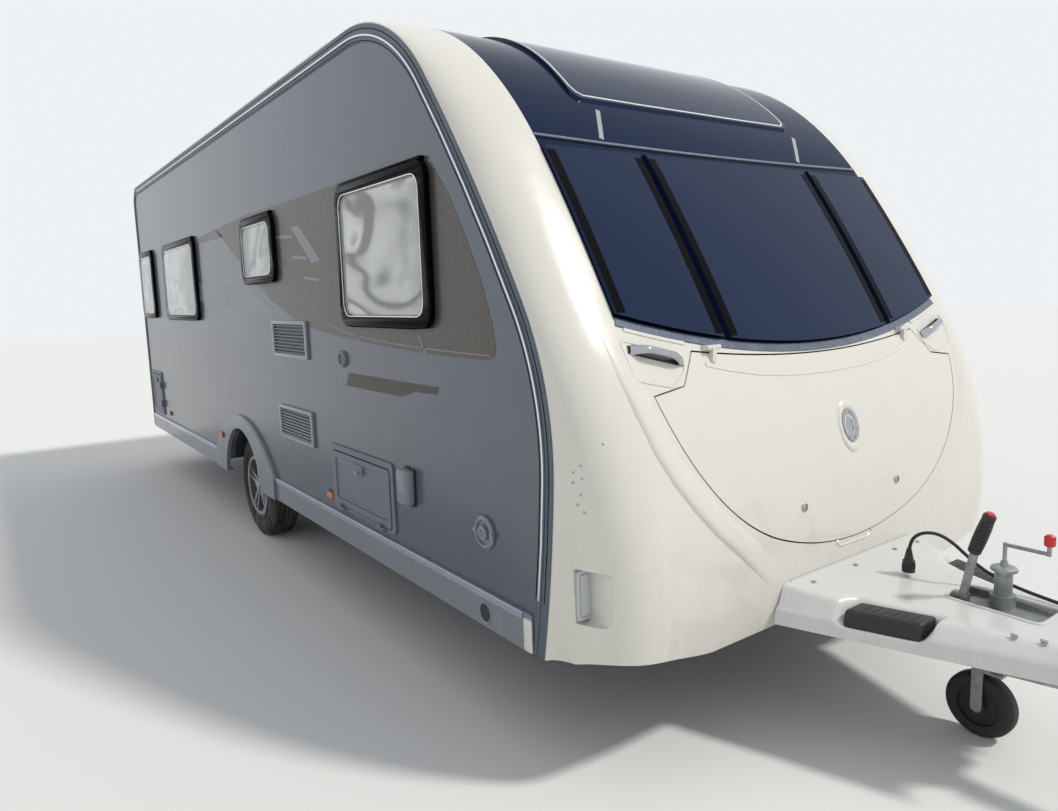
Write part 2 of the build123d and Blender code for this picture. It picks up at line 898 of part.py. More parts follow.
# Gas locker lid, the curved skin of the front between its gaps
with BuildPart() as locker_lid:
    add(middle_outer)
    add(middle_inner, mode=Mode.SUBTRACT)
    add(lid_prism(0.0), mode=Mode.INTERSECT)
    for center, axis in lid_hinges:
        add(hinge_half(center, axis, (0, 0, -1), lid_hinge_arm, True))
save(locker_lid.part, "locker_lid")

# Windows on the side walls: proud acrylic panes with a step that fills each cut-out
side_panes = []
for side, windows in ((-1, offside_windows), (1, nearside_windows)):
    for x0, x1, z0, z1 in windows:
        cut = pane_overlap + gap
        with BuildPart() as pane:
            add(side_block(side, x0, x1, z0, z1, pane_corner, body_half_width, body_half_width + pane_proud))
            outer_face = pane.faces().sort_by(Axis.Y)[0 if side < 0 else -1]
            fillet(outer_face.edges(), radius=pane_edge)
            add(
                side_block(
                    side, x0 + cut, x1 - cut, z0 + cut, z1 - cut, pane_corner - cut,
                    body_half_width - pane_step, body_half_width + gap,
                )
            )
        side_panes.append(pane.part)
with BuildPart() as side_windows:
    add(side_panes)
save(side_windows.part, "side_windows")

# Awning rails: a flat leaf over the seam between each side wall and the roof and front panels, with a
# bead on it
def rail_strip(side, ahead, behind, proud):
    """A strip along the seam, from ahead of it to behind it."""
    low = body_half_width
    high = low + proud
    with BuildPart() as strip:
        add(side_slab(side, low, high, flange - ahead, rail_bottom))
        add(side_slab(side, low - gap, high + gap, flange + behind, rail_bottom - gap), mode=Mode.SUBTRACT)
        chamfer(strip.faces().sort_by(Axis.Y)[0 if side < 0 else -1].edges(), length=proud / 3)
    return strip.part


rails = []
for side in (-1, 1):
    leaf = rail_strip(side, rail_ahead, rail_behind, rail_leaf)
    bead = rail_strip(side, rail_width / 2, rail_width / 2, rail_proud)
    with BuildPart() as rail:
        add(leaf)
        add(bead)
    rails.append(rail.part)
with BuildPart() as awning_rails:
    add(rails)
save(awning_rails.part, "awning_rails")

# Skirts along the side walls, each with its wheel spat
skirt_sides = []
for side in (-1, 1):
    low = body_half_width
    with BuildPart() as skirt:
        for y_from, y_to, top in (
            (low, low + skirt_thickness, skirt_top), (low - skirt_lip, low, skirt_bottom + skirt_fold)
        ):
            with BuildSketch(xz_plane(side * y_from)):
                with Locations(((rear_x + nose_x) / 2, (skirt_bottom + top) / 2)):
                    Rectangle(nose_x - rear_x, top - skirt_bottom)
            extrude(amount=-side * (y_to - y_from))
        with BuildSketch(xz_plane(side * low)):
            with BuildLine():
                ThreePointArc((spat_front_x, skirt_top), (wheel_x, spat_top), (spat_rear_x, skirt_top))
                Polyline(
                    (spat_rear_x, skirt_top), (spat_rear_x, skirt_bottom), (spat_front_x, skirt_bottom),
                    (spat_front_x, skirt_top),
                )
            make_face()
        extrude(amount=-side * spat_thickness)
        spat_face = skirt.faces().sort_by(Axis.Y)[0 if side < 0 else -1]
        chamfer(spat_face.edges().filter_by(GeomType.CIRCLE), length=skirt_thickness)
        add(
            wheel_arch(arch_radius, side, low - 2 * skirt_lip, low + 2 * spat_thickness),
            mode=Mode.SUBTRACT,
        )
        add(
            side_slab(
                side, low - 2 * skirt_lip, low + 2 * spat_thickness, flange + rail_behind + gap, skirt_bottom
            ),
            mode=Mode.INTERSECT,
        )
    skirt_sides.append(skirt.part)
with BuildPart() as skirts:
    add(skirt_sides)
save(skirts.part, "skirts")

# Fridge vents: a frame with slanted slats
with BuildPart() as vents:
    for x0, x1, z0, z1 in fridge_vents:
        add(side_block(-1, x0, x1, z0, z1, vent_corner, body_half_width, body_half_width + vent_proud))
        cut = vent_frame + gap
        add(
            side_block(
                -1, x0 + cut, x1 - cut, z0 + cut, z1 - cut, vent_corner,
                body_half_width - gap, body_half_width + 2 * vent_proud,
            ),
            mode=Mode.SUBTRACT,
        )
        pitch = (z1 - z0 - 2 * cut) / vent_slats
        for row in range(vent_slats):
            height = z0 + cut + (row + 0.5) * pitch
            place = Location(((x0 + x1) / 2, -(body_half_width + vent_proud / 2), height), (vent_tilt, 0, 0))
            with Locations(place):
                Box(x1 - x0 - 2 * cut + gap, vent_slat_depth, vent_slat_thickness)
save(vents.part, "fridge_vents")

# Offside lockers: frames on the wall, tubs behind, and the hatches
lockers = [(service_hatch, service_depth), (cassette_hatch, cassette_depth)]
service_from, service_to, service_low = service_hatch[0], service_hatch[1], service_hatch[2]
cassette_side, cassette_low, cassette_top = cassette_hatch[1], cassette_hatch[2], cassette_hatch[3]
service_hinges = [
    ((x, -hatch_hinge_y, service_low - hatch_hinge_drop), (1, 0, 0), (0, 0, 1))
    for x in (service_from + hatch_hinge_inset, service_to - hatch_hinge_inset)
]
cassette_hinges = [
    ((cassette_side + hatch_hinge_drop, -hatch_hinge_y, z), (0, 0, 1), (-1, 0, 0))
    for z in (cassette_low + hatch_hinge_inset, cassette_top - hatch_hinge_inset)
]
hatch_hinges = service_hinges + cassette_hinges

with BuildPart() as hatch_frames:
    for (x0, x1, z0, z1), depth in lockers:
        rim = hatch_frame
        add(
            side_block(
                -1, x0 - rim, x1 + rim, z0 - rim / 2, z1 + rim, hatch_corner,
                body_half_width, body_half_width + hatch_frame_proud,
            )
        )
        add(
            side_block(
                -1, x0, x1, z0, z1, hatch_corner, body_half_width - gap, body_half_width + hatch_proud,
            ),
            mode=Mode.SUBTRACT,
        )
    for center, axis, arm in hatch_hinges:
        add(hinge_half(center, axis, (0, 1, 0), hatch_hinge_y - body_half_width - gap, False))
save(hatch_frames.part, "hatch_frames")

with BuildPart() as locker_tubs:
    inner = body_half_width - wall - gap
    for (x0, x1, z0, z1), depth in lockers:
        add(
            side_block(
                -1, x0 - tub_wall, x1 + tub_wall, z0 - tub_wall, z1 + tub_wall, hatch_corner,
                inner - depth - tub_wall, inner,
            )
        )
        add(
            side_block(-1, x0, x1, z0, z1, hatch_corner - tub_wall, inner - depth, inner + gap),
            mode=Mode.SUBTRACT,
        )
save(locker_tubs.part, "locker_tubs")

for name, (x0, x1, z0, z1), hinges in (
    ("service_hatch_lid", service_hatch, service_hinges),
    ("cassette_door", cassette_hatch, cassette_hinges),
):
    with BuildPart() as hatch:
        add(
            side_block(
                -1, x0 + hatch_gap, x1 - hatch_gap, z0 + hatch_gap, z1 - hatch_gap, hatch_corner - hatch_gap,
                body_half_width - wall + hatch_gap, body_half_width + hatch_proud,
            )
        )
        add(
            side_block(
                -1, x0 + hatch_border, x1 - hatch_border, z0 + hatch_border, z1 - hatch_border, hatch_corner,
                body_half_width + hatch_proud - hatch_recess, body_half_width + 2 * hatch_proud,
            ),
            mode=Mode.SUBTRACT,
        )
        add(
            side_block(
                -1, (x0 + x1 - latch_size[0]) / 2, (x0 + x1 + latch_size[0]) / 2,
                z1 - hatch_border - latch_size[1], z1 - hatch_border + hatch_recess, hatch_recess,
                body_half_width, body_half_width + hatch_proud + latch_size[2],
            )
        )
        for center, axis, arm in hinges:
            add(hinge_half(center, axis, arm, hatch_hinge_drop + hatch_gap + hinge_radius, True))
    save(hatch.part, name)

# Entrance door in the nearside wall, its window, handle and hinges
door_hinge_x = door_to_x + door_gap / 2
half_turn = sqrt(0.5)
door_axes = [((door_hinge_x, door_hinge_y, z), (0, 0, 1)) for z in door_hinges]
window_width, window_height, window_z = door_window
door_middle = (door_from_x + door_to_x) / 2
window_box = (
    door_middle - window_width / 2, door_middle + window_width / 2,
    window_z - window_height / 2, window_z + window_height / 2,
)
with BuildPart() as entrance_door:
    x0, x1, z0, z1 = door_from_x + door_gap, door_to_x - door_gap, door_bottom + door_gap, door_top - door_gap
    add(side_block(1, x0, x1, z0, z1, door_corner - door_gap, body_half_width - wall, body_half_width))
    skin_in = 3 * door_gap
    add(
        side_block(
            1, x0 + skin_in, x1 - skin_in, z0 + skin_in, z1 - skin_in, door_corner - skin_in,
            body_half_width - gap, body_half_width + door_skin,
        )
    )
    x0, x1, z0, z1 = window_box
    cut = pane_overlap
    add(
        side_block(
            1, x0 + cut, x1 - cut, z0 + cut, z1 - cut, pane_corner - cut,
            body_half_width - 2 * wall, body_half_width + 2 * wall,
        ),
        mode=Mode.SUBTRACT,
    )
    for center, axis in door_axes:
        add(hinge_half(center, axis, (-half_turn, -half_turn, 0), door_hinge_stand / half_turn, True))
save(entrance_door.part, "entrance_door")

with BuildPart() as door_window_pane:
    face = body_half_width + door_skin
    add(side_block(1, x0, x1, z0, z1, pane_corner, face, face + door_pane_proud))
    fillet(door_window_pane.faces().sort_by(Axis.Y)[-1].edges(), radius=pane_edge / 2)
    cut = pane_overlap + gap
    add(
        side_block(
            1, x0 + cut, x1 - cut, z0 + cut, z1 - cut, pane_corner - cut,
            body_half_width - pane_step, face + gap,
        )
    )
save(door_window_pane.part, "door_window")

with BuildPart() as door_handle:
    handle_x = door_from_x + door_handle_inset
    half_width, half_height = door_handle_size[0] / 2, door_handle_size[1] / 2
    add(
        side_block(
            1, handle_x - half_width, handle_x + half_width, door_handle_z - half_height,
            door_handle_z + half_height, half_width / 2, face, face + door_handle_size[2],
        )
    )
    fillet(door_handle.faces().sort_by(Axis.Y)[-1].edges(), radius=door_handle_size[2] / 4)
save(door_handle.part, "door_handle")

with BuildPart() as door_hinge_plates:
    for center, axis in door_axes:
        add(hinge_half(center, axis, (half_turn, -half_turn, 0), 2 * (door_hinge_y - body_half_width), False))
    split(bisect_by=Plane.XZ.offset(-body_half_width), keep=Keep.BOTTOM)
save(door_hinge_plates.part, "door_hinge_plates")

# Rooflights over their cut-outs
with BuildPart() as rooflight_domes:
    for x, y in rooflights:
        with BuildSketch(Plane(origin=(x, y, roof_top))):
            RectangleRounded(rooflight_size, rooflight_size, rooflight_lip)
        extrude(amount=rooflight_height, taper=rooflight_taper)
save(rooflight_domes.part, "rooflights")

# Lamps
with BuildPart() as side_lamps:
    width, height, depth = side_marker_size
    for side in (-1, 1):
        for x, z in side_markers:
            add(
                side_block(
                    side, x - width / 2, x + width / 2, z - height / 2, z + height / 2, height / 3,
                    body_half_width + (spat_thickness if x == side_markers[1][0] else 0),
                    body_half_width + depth + (spat_thickness if x == side_markers[1][0] else 0),
                )
            )
save(side_lamps.part, "side_marker_lamps")

with BuildPart() as rear_lamps:
    width, height, depth = rear_lamp
    for side in (-1, 1):
        lamp_center = (rear_x, side * rear_lamp_place[0], rear_lamp_place[1])
        with BuildSketch(Plane(origin=lamp_center, x_dir=(0, -1, 0), z_dir=(-1, 0, 0))):
            RectangleRounded(width, height, width / 5)
        extrude(amount=depth)
    with BuildSketch(Plane(origin=(rear_x, 0, rear_bar_z), x_dir=(0, -1, 0), z_dir=(-1, 0, 0))):
        RectangleRounded(rear_bar_lamp[0], rear_bar_lamp[1], rear_bar_lamp[1] / 3)
    extrude(amount=rear_bar_lamp[2])
save(rear_lamps.part, "rear_lamps")

with BuildPart() as number_plate:
    with BuildSketch(Plane(origin=(rear_x, 0, plate_z), x_dir=(0, -1, 0), z_dir=(-1, 0, 0))):
        RectangleRounded(plate_size[0], plate_size[1], plate_size[2])
    extrude(amount=plate_size[2])
save(number_plate.part, "number_plate")

# Grab handles: a bar on two posts, across the front corners and upright at the rear
with BuildPart() as grab_handles:
    for side in (-1, 1):
        ends = [(side * y, z) for y, z in (grab_inner, grab_outer)]
        bar_ends = [(face_x(z) + grab_stand, y, z) for y, z in ends]
        with BuildLine():
            bar_line = Line(bar_ends[0], bar_ends[1])
        with BuildSketch(Plane(origin=bar_ends[0], z_dir=bar_line % 0)):
            Circle(grab_radius)
        extrude(amount=bar_line.length)
        for x, y, z in bar_ends:
            with BuildSketch(Plane(origin=(x - grab_stand, y, z), z_dir=(1, 0, 0))):
                Circle(grab_radius)
            extrude(amount=grab_stand)
            with Locations((x, y, z)):
                Sphere(grab_radius)
        with BuildSketch(Plane(origin=(rear_x - grab_stand, side * rear_grab_y, rear_grab_z[0]))):
            Circle(grab_radius)
        extrude(amount=rear_grab_z[1] - rear_grab_z[0])
        for z in rear_grab_z:
            with BuildSketch(Plane(origin=(rear_x, side * rear_grab_y, z), z_dir=(-1, 0, 0))):
                Circle(grab_radius)
            extrude(amount=grab_stand)
            with Locations((rear_x - grab_stand, side * rear_grab_y, z)):
                Sphere(grab_radius)
    add(middle_outer, mode=Mode.SUBTRACT)
save(grab_handles.part, "grab_handles")

# Fittings on the offside wall: mains inlet cowl, water inlet and gas point
with BuildPart() as fittings:
    x0, x1, z0, z1 = cowl
    add(side_block(-1, x0, x1, z0, z1, cowl_depth / 2, body_half_width, body_half_width + cowl_depth))
    fillet(fittings.faces().sort_by(Axis.Y)[0].edges(), radius=cowl_depth / 3)
    for x, z, radius in (water_inlet, gas_point):
        add(side_disc(-1, x, z, radius, body_half_width, body_half_width + fitting_depth / 2))
        add(side_disc(-1, x, z, radius * fitting_cap_share, body_half_width, body_half_width + fitting_depth))
save(fittings.part, "wall_fittings")

# Chassis: two bent channel members that meet at the coupling, and the cross members between them
member_angle = atan2(member_bend[1] - member_front[1], member_front[0] - member_bend[0])
member_low = floor_bottom - member_height


def member_line(shift):
    """A member's line in plan, moved outwards by shift, on the nearside."""
    return [
        (member_rear[0], member_rear[1] + shift),
        (member_bend[0] + shift * tan(member_angle / 2), member_bend[1] + shift),
        (member_front[0] + shift * sin(member_angle), member_front[1] + shift * cos(member_angle)),
    ]


def member_bar(side, inner, outer, low, high):
    """A bent bar between two lines in plan and two heights."""
    points = member_line(outer) + member_line(inner)[::-1]
    with BuildPart() as bar:
        with BuildSketch(Plane.XY.offset(low)):
            with BuildLine():
                Polyline([(x, side * y) for x, y in points], close=True)
            make_face()
        extrude(amount=high - low)
    return bar.part


hole_count = int((member_bend[0] - member_rear[0]) / member_hole_pitch)
members = []
for side in (-1, 1):
    half = member_width / 2
    with BuildPart() as member:
        add(member_bar(side, -half, half, member_low, floor_bottom))
        add(
            member_bar(
                side, -half - gap, half - member_wall, member_low + member_wall, floor_bottom - member_wall
            ),
            mode=Mode.SUBTRACT,
        )
        for step in range(hole_count):
            x = member_rear[0] + (step + 0.5) * member_hole_pitch
            if abs(x - axle_x) > member_hole_pitch / 2:
                with BuildSketch(xz_plane(side * member_bend[1])):
                    with Locations((x, (member_low + floor_bottom) / 2)):
                        Circle(member_hole)
                extrude(amount=member_width, both=True, mode=Mode.SUBTRACT)
    members.append(member.part)
with BuildPart() as chassis_members:
    add(members)
save(chassis_members.part, "chassis_members")

with BuildPart() as cross_bars:
    half = member_rear[1] + member_width / 2 - member_wall - gap
    for x in cross_members:
        add(
            box_between(
                x - cross_width / 2, x + cross_width / 2, -half, half,
                member_low + member_wall + gap, floor_bottom - member_wall - gap,
            )
        )
save(cross_bars.part, "cross_members")

# Axle: a tube under the chassis, swing arms with stub axles, and brake drums
with BuildPart() as axle_tube:
    with BuildSketch(xz_plane(arm_y - gap)):
        with Locations((axle_x, axle_z)):
            RegularPolygon(axle_radius, 6)
    extrude(amount=2 * (arm_y - gap))
    for side in (-1, 1):
        half = member_width / 2
        y = side * member_rear[1]
        add(
            box_between(
                axle_x - axle_radius, axle_x + axle_radius, y - half, y + half, axle_z, member_low
            )
        )
save(axle_tube.part, "axle_tube")

with BuildPart() as swing_arms:
    arm_length = sqrt((axle_x - wheel_x) ** 2 + (tyre_radius - axle_z) ** 2)
    arm_turn = degrees(atan2(axle_z - tyre_radius, axle_x - wheel_x))
    for side in (-1, 1):
        with BuildSketch(xz_plane(side * arm_y)):
            with Locations(((axle_x + wheel_x) / 2, (axle_z + tyre_radius) / 2)):
                SlotCenterToCenter(arm_length, 2 * axle_radius, rotation=arm_turn)
        extrude(amount=-side * arm_thickness)
drum_from = arm_y + arm_thickness
drum_to = drum_from + drum_width
stub_to = track_half + tyre_width / 2 - spoke_recess - rim_lip
with BuildPart() as swing_arms_and_drums:
    add(swing_arms.part)
    for side in (-1, 1):
        add(side_disc(side, wheel_x, tyre_radius, drum_radius, drum_from, drum_to))
        add(side_disc(side, wheel_x, tyre_radius, stub_radius, drum_to - gap, stub_to))
save(swing_arms_and_drums.part, "swing_arms")


# Wheels: tyre and alloy rim
def wheel_plane(side):
    """Sketch plane through the wheel's axis: local X outwards along it, local Y up from it."""
    return Plane(origin=(wheel_x, side * track_half, tyre_radius), x_dir=(0, side, 0), z_dir=(side, 0, 0))


def wheel_axis(side):
    return Axis((wheel_x, side * track_half, tyre_radius), (0, 1, 0))


half_tyre = tyre_width / 2
rim_half = tyre_bead + rim_lip
spoke_face = half_tyre - spoke_recess
for side, end in ((-1, "offside"), (1, "nearside")):
    with BuildPart() as tyre:
        with BuildSketch(wheel_plane(side)):
            with BuildLine():
                seat = rim_seat + gap / 2
                lip = rim_radius + gap
                flank = (rim_radius + tyre_radius) / 2 - gap
                shoulder = tyre_shoulder
                Polyline((-tyre_bead, lip), (-tyre_bead, seat), (tyre_bead, seat), (tyre_bead, lip))
                ThreePointArc((tyre_bead, lip), (half_tyre, flank), shoulder)
                ThreePointArc(shoulder, (0, tyre_radius), (-shoulder[0], shoulder[1]))
                ThreePointArc((-shoulder[0], shoulder[1]), (-half_tyre, flank), (-tyre_bead, lip))
            make_face()
        revolve(axis=wheel_axis(side))
    save(tyre.part, f"tyre_{end}")

    with BuildPart() as rim:
        with BuildSketch(wheel_plane(side)):
            with BuildLine():
                Polyline(
                    (-rim_half, rim_radius),
                    (-rim_half, rim_inner),
                    (rim_half, rim_inner),
                    (rim_half, rim_radius),
                    (tyre_bead + gap, rim_radius), (tyre_bead + gap, rim_seat), (-tyre_bead - gap, rim_seat),
                    (-tyre_bead - gap, rim_radius),
                    close=True,
                )
            make_face()
            with Locations((spoke_face - spoke_thickness / 2, hub_radius / 2)):
                Rectangle(spoke_thickness, hub_radius)
        revolve(axis=wheel_axis(side))
        with BuildSketch(wall_plane(side, wheel_x, tyre_radius, track_half + spoke_face - spoke_thickness)):
            for step in range(spoke_count):
                for lean in (-1, 1):
                    turn = 360 * step / spoke_count + 90
                    with Locations(Location((0, 0, 0), (0, 0, turn))):
                        spoke_center = ((hub_radius + rim_inner) / 2, lean * spoke_spread / 2, 0)
                        with Locations(Location(spoke_center, (0, 0, lean * spoke_lean))):
                            Rectangle(rim_inner - hub_radius + 2 * rim_lip, spoke_width)
        extrude(amount=spoke_thickness)
        add(
            side_disc(
                side, wheel_x, tyre_radius, stub_radius + running_gap, drum_from, stub_to + rim_lip
            ),
            mode=Mode.SUBTRACT,
        )
    save(rim.part, f"rim_{end}")

# Overrun housing on the members' front ends, with its shaft, gaiter and coupling head
def member_y(x):
    return member_front[1] + (member_front[0] - x) * tan(member_angle)


def housing_outline(low, high):
    """A plate across both members, between two heights."""
    half = member_width / 2 / cos(member_angle)
    with BuildPart() as plate:
        with BuildSketch(Plane.XY.offset(low)):
            with BuildLine():
                back, front = member_y(plate_from_x) + half, member_y(member_front[0]) + half
                Polyline(
                    (plate_from_x, -back),
                    (member_front[0], -front),
                    (member_front[0], front),
                    (plate_from_x, back),
                    close=True,
                )
            make_face()
        extrude(amount=high - low)
    return plate.part


with BuildPart() as housing:
    add(housing_outline(floor_bottom, floor_bottom + housing_plate))
    add(housing_outline(member_low - housing_plate, member_low))
    with BuildSketch(Plane.XY.offset(member_low - 2 * housing_plate)):
        with Locations((jockey_x, jockey_y)):
            Circle(jockey_outer_radius + gap)
    extrude(amount=floor_bottom, mode=Mode.SUBTRACT)
    add(
        box_between(
            plate_from_x, member_front[0], -housing_plate, housing_plate, member_low - gap, floor_bottom + gap
        )
    )
    with BuildSketch(front_plane(housing_from_x, 0, shaft_z)):
        Circle(housing_radius)
    extrude(amount=housing_to_x - housing_from_x)
    with BuildSketch(front_plane(housing_from_x + housing_plate, 0, shaft_z)):
        Circle(shaft_radius + running_gap)
    extrude(amount=housing_to_x - housing_from_x, mode=Mode.SUBTRACT)
save(housing.part, "overrun_housing")

with BuildPart() as coupling:
    with BuildSketch(front_plane(shaft_from_x, 0, shaft_z)):
        Circle(shaft_radius)
    extrude(amount=ball_x - shaft_from_x)
    low, high = ball_z - socket_skirt, ball_z + head_height
    with BuildSketch(Plane.XY.offset(low)):
        with Locations((ball_x, 0)):
            Circle(head_radius)
        with Locations(((gaiter_to_x + ball_x) / 2, 0)):
            Rectangle(ball_x - gaiter_to_x, 2 * head_neck)
    extrude(amount=high - low)
    fillet(coupling.edges().filter_by_position(Axis.Z, high - gap, high + gap), radius=head_edge)
    with BuildSketch(xz_plane(head_lever_half)):
        with BuildLine():
            Polyline(
                (ball_x, high - head_edge), (ball_x + head_radius / 3, high + head_edge),
                (ball_x - head_radius, high + head_edge + head_lever_half),
                (head_lever_x, high + head_lever_rise),
                (head_lever_x, high + head_lever_rise - head_lever_half),
                (ball_x - head_radius, high - head_edge),
                close=True,
            )
        make_face()
    extrude(amount=2 * head_lever_half)
    with Locations((ball_x, 0, ball_z)):
        Sphere(ball_socket_radius, mode=Mode.SUBTRACT)
    with BuildSketch(Plane.XY.offset(low)):
        with Locations((ball_x, 0)):
            Circle(ball_socket_radius)
    extrude(amount=socket_skirt, mode=Mode.SUBTRACT)
save(coupling.part, "coupling_head")

with BuildPart() as gaiter:
    fold = (gaiter_to_x - housing_to_x) / gaiter_folds
    inner = shaft_radius + gap
    with BuildSketch(Plane(origin=(housing_to_x, 0, shaft_z), x_dir=(1, 0, 0), z_dir=(0, -1, 0))):
        with BuildLine():
            crests = [(0, inner)]
            for step in range(gaiter_folds):
                crests += [(step * fold, inner + gaiter_low), ((step + 0.5) * fold, inner + gaiter_high)]
            crests += [(gaiter_folds * fold - gap, inner + gaiter_low), (gaiter_folds * fold - gap, inner)]
            Polyline(crests, close=True)
        make_face()
    revolve(axis=Axis((housing_to_x, 0, shaft_z), (1, 0, 0)))
save(gaiter.part, "coupling_gaiter")

# Handbrake lever, its grip and release button
lever_run = (brake_tip[0] - brake_foot[0], brake_tip[1] - brake_foot[1])
lever_length = sqrt(lever_run[0] ** 2 + lever_run[1] ** 2)
lever_foot = (brake_foot[0], 0, brake_foot[1])
lever_plane = Plane(origin=lever_foot, x_dir=(0, 1, 0), z_dir=(lever_run[0], 0, lever_run[1]))
with BuildPart() as lever:
    with BuildSketch(lever_plane):
        Ellipse(lever_half[0], lever_half[1])
    extrude(amount=lever_length - brake_grip + gap)
    with Locations((brake_foot[0], 0, brake_foot[1] + lever_base[2] / 2)):
        Box(*lever_base)
    split(bisect_by=Plane.XY.offset(floor_bottom + housing_plate), keep=Keep.TOP)
save(lever.part, "handbrake_lever")

with BuildPart() as grip:
    with BuildSketch(lever_plane.offset(lever_length - brake_grip + gap)):
        Circle(grip_radius)
    extrude(amount=brake_grip - 2 * gap - grip_button[1])
    fillet(grip.edges(), radius=grip_radius / 3)
    with BuildSketch(lever_plane.offset(lever_length - gap - grip_button[1] - grip_radius / 2)):
        Circle(grip_button[0])
    extrude(amount=grip_button[1] + grip_radius / 2)
save(grip.part, "handbrake_grip")


# Drawbar cover, a moulded shell over the members
def cover_block(inset, reach):
    with BuildPart() as block:
        for row, (x, half, top) in enumerate(cover_sections):
            shift = reach * (row - 1)
            half -= inset
            top -= inset
            low = cover_hem - 2 * inset
            with BuildSketch(front_plane(x + shift)):
                with BuildLine():
                    Polyline(
                        (-half, low),
                        (-half + cover_flare, cover_hem + cover_shoulder),
                        (-half + cover_shoulder, top),
                        (half - cover_shoulder, top),
                        (half - cover_flare, cover_hem + cover_shoulder),
                        (half, low),
                        close=True,
                    )
                make_face()
        loft(ruled=True)
    return block.part


cover_outer = cover_block(0.0, 0.0)
cover_inner = cover_block(cover_wall, gap)
with BuildPart() as cover:
    add(cover_outer)
    add(cover_inner, mode=Mode.SUBTRACT)
    x0, x1, y0, y1 = cover_slot
    with BuildSketch(Plane.XY.offset(floor_bottom)):
        with Locations(((x0 + x1) / 2, (y0 + y1) / 2)):
            RectangleRounded(x1 - x0, y1 - y0, cover_slot_corner)
    extrude(amount=floor_bottom, mode=Mode.SUBTRACT)

with BuildPart() as cover_ribs:
    add(cover_block(cover_wall - gap, 0.0))
    with BuildSketch(Plane.XY.offset(floor_bottom)):
        for x in cover_rib_places:
            with Locations((x, 0)):
                Rectangle(2 * cover_wall, 2 * member_bend[1])
    extrude(amount=floor_bottom, mode=Mode.INTERSECT)

plug_x, plug_y = plug_place
with BuildPart() as drawbar_cover:
    add(cover.part)
    add(cover_ribs.part)
    with BuildSketch(Plane.XY.offset(plug_base_z)):
        with Locations((plug_x, plug_y)):
            RectangleRounded(plug_seat, plug_seat, plug_radius / 2)
    extrude(amount=plug_holder_height)
save(drawbar_cover.part, "drawbar_cover")

# Jockey wheel: clamp tube, crank, sliding tube, swivelling fork and wheel
with BuildPart() as jockey_clamp:
    with BuildSketch(Plane.XY.offset(jockey_outer_low)):
        with Locations((jockey_x, jockey_y)):
            Circle(jockey_outer_radius)
    extrude(amount=jockey_outer_top - jockey_outer_low)
    with BuildSketch(Plane.XY.offset(floor_bottom + housing_plate)):
        with Locations((jockey_x, jockey_y)):
            Circle(jockey_collar[0])
    extrude(amount=jockey_collar[1])
    with BuildSketch(Plane.XY.offset(jockey_outer_low)):
        with Locations((jockey_x, jockey_y)):
            Circle(jockey_bore)
    extrude(amount=jockey_outer_top - jockey_outer_low - housing_plate, mode=Mode.SUBTRACT)
save(jockey_clamp.part, "jockey_clamp_tube")

crank_x, crank_z = crank_end
with BuildPart() as crank:
    with BuildSketch(Plane.XY.offset(jockey_outer_top)):
        with Locations((jockey_x, jockey_y)):
            Circle(crank_radius)
    extrude(amount=crank_rise)
    arm_z = jockey_outer_top + crank_rise - crank_radius
    with BuildSketch(front_plane(jockey_x, jockey_y, arm_z)):
        Circle(crank_radius)
    extrude(amount=crank_x - jockey_x)
    with BuildSketch(Plane.XY.offset(arm_z - crank_radius)):
        with Locations((crank_x, jockey_y)):
            Circle(crank_radius)
    extrude(amount=crank_radius + crank_z - arm_z)
save(crank.part, "jockey_crank")

with BuildPart() as crank_knob:
    with BuildSketch(Plane.XY.offset(crank_z)):
        with Locations((crank_x, jockey_y)):
            Circle(knob_size[0])
    extrude(amount=knob_size[1])
    fillet(crank_knob.edges(), radius=knob_size[0] / 3)
save(crank_knob.part, "jockey_knob")

with BuildPart() as jockey_tube:
    with BuildSketch(Plane.XY.offset(jockey_tube_low)):
        with Locations((jockey_x, jockey_y)):
            Circle(jockey_inner_radius)
    extrude(amount=jockey_tube_top - jockey_tube_low)
    with BuildSketch(Plane.XY.offset(jockey_tube_low - fork_bridge)):
        with Locations((jockey_x, jockey_y)):
            Circle(jockey_pin)
    extrude(amount=fork_bridge)
save(jockey_tube.part, "jockey_tube")

wheel_middle = jockey_x - jockey_trail
fork_inner = jockey_wheel_width / 2 + fork_gap
fork_high = jockey_tube_low - running_gap
with BuildPart() as jockey_fork:
    half = fork_inner + fork_plate
    add(
        box_between(
            wheel_middle - fork_half, jockey_x + jockey_outer_radius, jockey_y - half, jockey_y + half,
            fork_high - fork_bridge, fork_high,
        )
    )
    with BuildSketch(Plane.XY.offset(fork_high - fork_bridge)):
        with Locations((jockey_x, jockey_y)):
            Circle(jockey_pin + running_gap)
    extrude(amount=fork_bridge, mode=Mode.SUBTRACT)
    for y in (jockey_y - half, jockey_y + fork_inner):
        add(
            box_between(
                wheel_middle - fork_half, wheel_middle + fork_half, y, y + fork_plate,
                jockey_wheel_radius, fork_high - gap,
            )
        )
        plate_center = (wheel_middle, y, jockey_wheel_radius)
        with BuildSketch(Plane(origin=plate_center, x_dir=(1, 0, 0), z_dir=(0, -1, 0))):
            Circle(fork_half)
        extrude(amount=-fork_plate)
    jockey_center = (wheel_middle, jockey_y, jockey_wheel_radius)
    jockey_plane = Plane(origin=jockey_center, x_dir=(1, 0, 0), z_dir=(0, -1, 0))
    with BuildSketch(jockey_plane):
        Circle(jockey_pin)
    extrude(amount=half, both=True)
save(jockey_fork.part, "jockey_fork")

